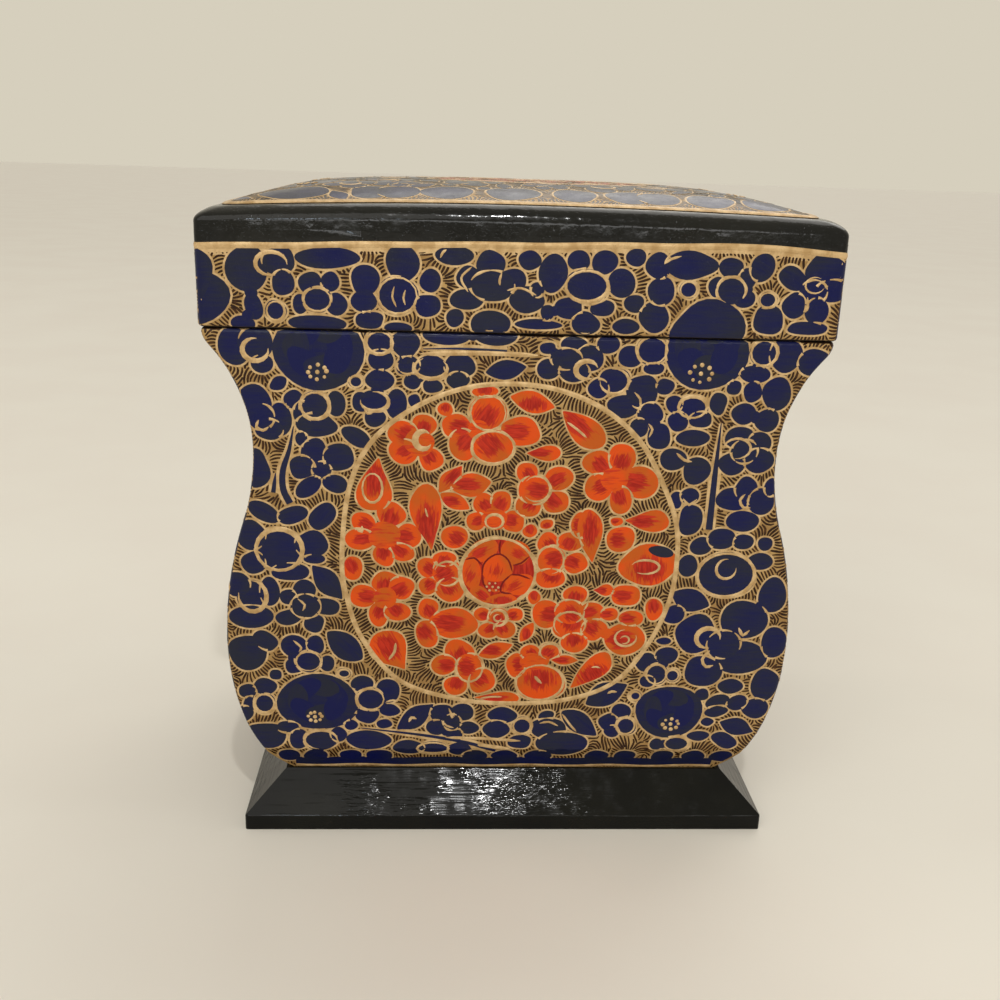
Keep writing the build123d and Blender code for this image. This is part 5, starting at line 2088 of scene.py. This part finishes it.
top_gold = top_ground()
print("top ground:", len(top_gold.data.polygons), "faces")

# %% [markdown]
# Seen from above, the top has a gold border that follows the shoulder, a row of large navy
# petals along its front and back edges, roses, and an orange medallion off the middle.

# %% Paint the top
TOP_ROW = [(-46.3, 6.9), (-30.8, 4.4), (-25.6, 4.2), (-15.6, 5.2), (-2.2, 5.3), (10.4, 4.2), (21.6, 4.4),
           (27.6, 4.2), (38.4, 4.8), (50.0, 4.6)]
TOP_MIDDLE, TOP_RADII = (5.0, 1.5), (25.0, 17.5)
TOP_ROSES = ((-46, -14), (-46, 14), (46, -14), (46, 14))


def from_middle(u, v):
    """How far out a spot is from the top medallion's middle, in its radii."""
    return math.hypot((u - TOP_MIDDLE[0]) / TOP_RADII[0], (v - TOP_MIDDLE[1]) / TOP_RADII[1])


def round_middle(angle, across=1.0, along=1.0):
    """A spot on an oval round the top medallion's middle, by its angle in radians."""
    return (TOP_MIDDLE[0] + across * TOP_RADII[0] * math.cos(angle),
            TOP_MIDDLE[1] + along * TOP_RADII[1] * math.sin(angle))


def paint_top():
    """Border, medallion, navy flowers round it, ink between."""
    folds = fold_lines(np.arange(-60, 61, 2.0), axis=0) + fold_lines(np.arange(-36, 37, 2.0))
    sheet = Sheet("top", -TOP_DEPTH, TOP_DEPTH, half_top, wrap_top, 0.15, 41, folds)
    border = [(x, y) for x, y, _ in rounded_loop(TOP_HALF - 1.1, TOP_DEPTH - 1.1, 4.1, 0, 6, 12)]
    sheet.line(border, 1.9, closed=True, take=True)
    sheet.line([round_middle(angle) for angle in np.radians(range(0, 360, 15))], 1.05, closed=True, take=True)
    for u, length in TOP_ROW:
        for way in (1, -1):
            sheet.petal(way * u, way * -29.6, length, 4.4, sheet.chance.uniform(-3, 3))
    medallion_rose(sheet, *TOP_MIDDLE, 6.4)
    for turn in range(0, 360, 45):
        bloom(sheet, *round_middle(math.radians(turn), 0.65, 0.69), 4.2, "orange")
    strew(sheet, sizes=(3.4,), paint="orange", inside=lambda u, v: from_middle(u, v) < 0.92)
    for u, v in TOP_ROSES:
        rose(sheet, u, v, 7.6)
    strew(sheet, sizes=(6.4, 5.2, 4.2), inside=lambda u, v: from_middle(u, v) > 1.08)
    fill_with_ink(sheet, 0.2)
    return sheet


top_sheet = paint_top()

# %% [markdown]
# ## Put the paint on
#
# Every drawing is wrapped now, one piece for each paint and each part of the box, and each
# piece rides on the body that carries it.

# %% Lay every paint
COATS = ("ink", "gold", "navy", "orange", "lacquer")
GROUPS = [
    ("front", [front_sheet], "body", "painted_body"),
    ("back", [back_sheet], "body", "painted_body"),
    ("left_side", [left_sheet], "body", "painted_body"),
    ("right_side", [right_sheet], "body", "painted_body"),
    ("lid_walls", [lid_front, *lid_others], "lid", "painted_lid"),
    ("lid_top", [top_sheet], "lid", "painted_lid_top"),
]
total = 0
for name, sheets, body, slot in GROUPS:
    for coat in COATS:
        piece = lay_paint(name + "_" + coat, sheets, coat, body, slot)
        total += len(piece.data.polygons) if piece else 0
print("painted triangles in all:", total)

# %% [markdown]
# The boards take their own finishes: gold ground outside, plain black lacquer for the
# plinth and everything inside.  The smoother lid stands in for its CAD pieces.

# %% Dress the boards
BOARD_FINISH = {"plinth": "plinth"}
for name in ("front_panel", "back_panel", "left_side_panel", "right_side_panel"):
    BOARD_FINISH[name] = "gold_ground_body"
for name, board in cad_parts.items():
    finish = PAINTS[BOARD_FINISH[name]] if name in BOARD_FINISH else INSIDE
    for slot in board.material_slots:
        slot.material = finish
for name, board in zip(LID_WALLS, wall_boards):
    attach(board, "lid")
    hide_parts(name)
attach(shell, "lid")
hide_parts("lid_top")
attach(top_gold, "lid")
print("boards dressed:", len(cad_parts))

# %% [markdown]
# ## The scene brought up to date
#
# Paint adds hundredths of a millimetre, so the dressed box has to measure what the CAD
# box measures.

# %% Update the scene
bpy.context.view_layer.update()
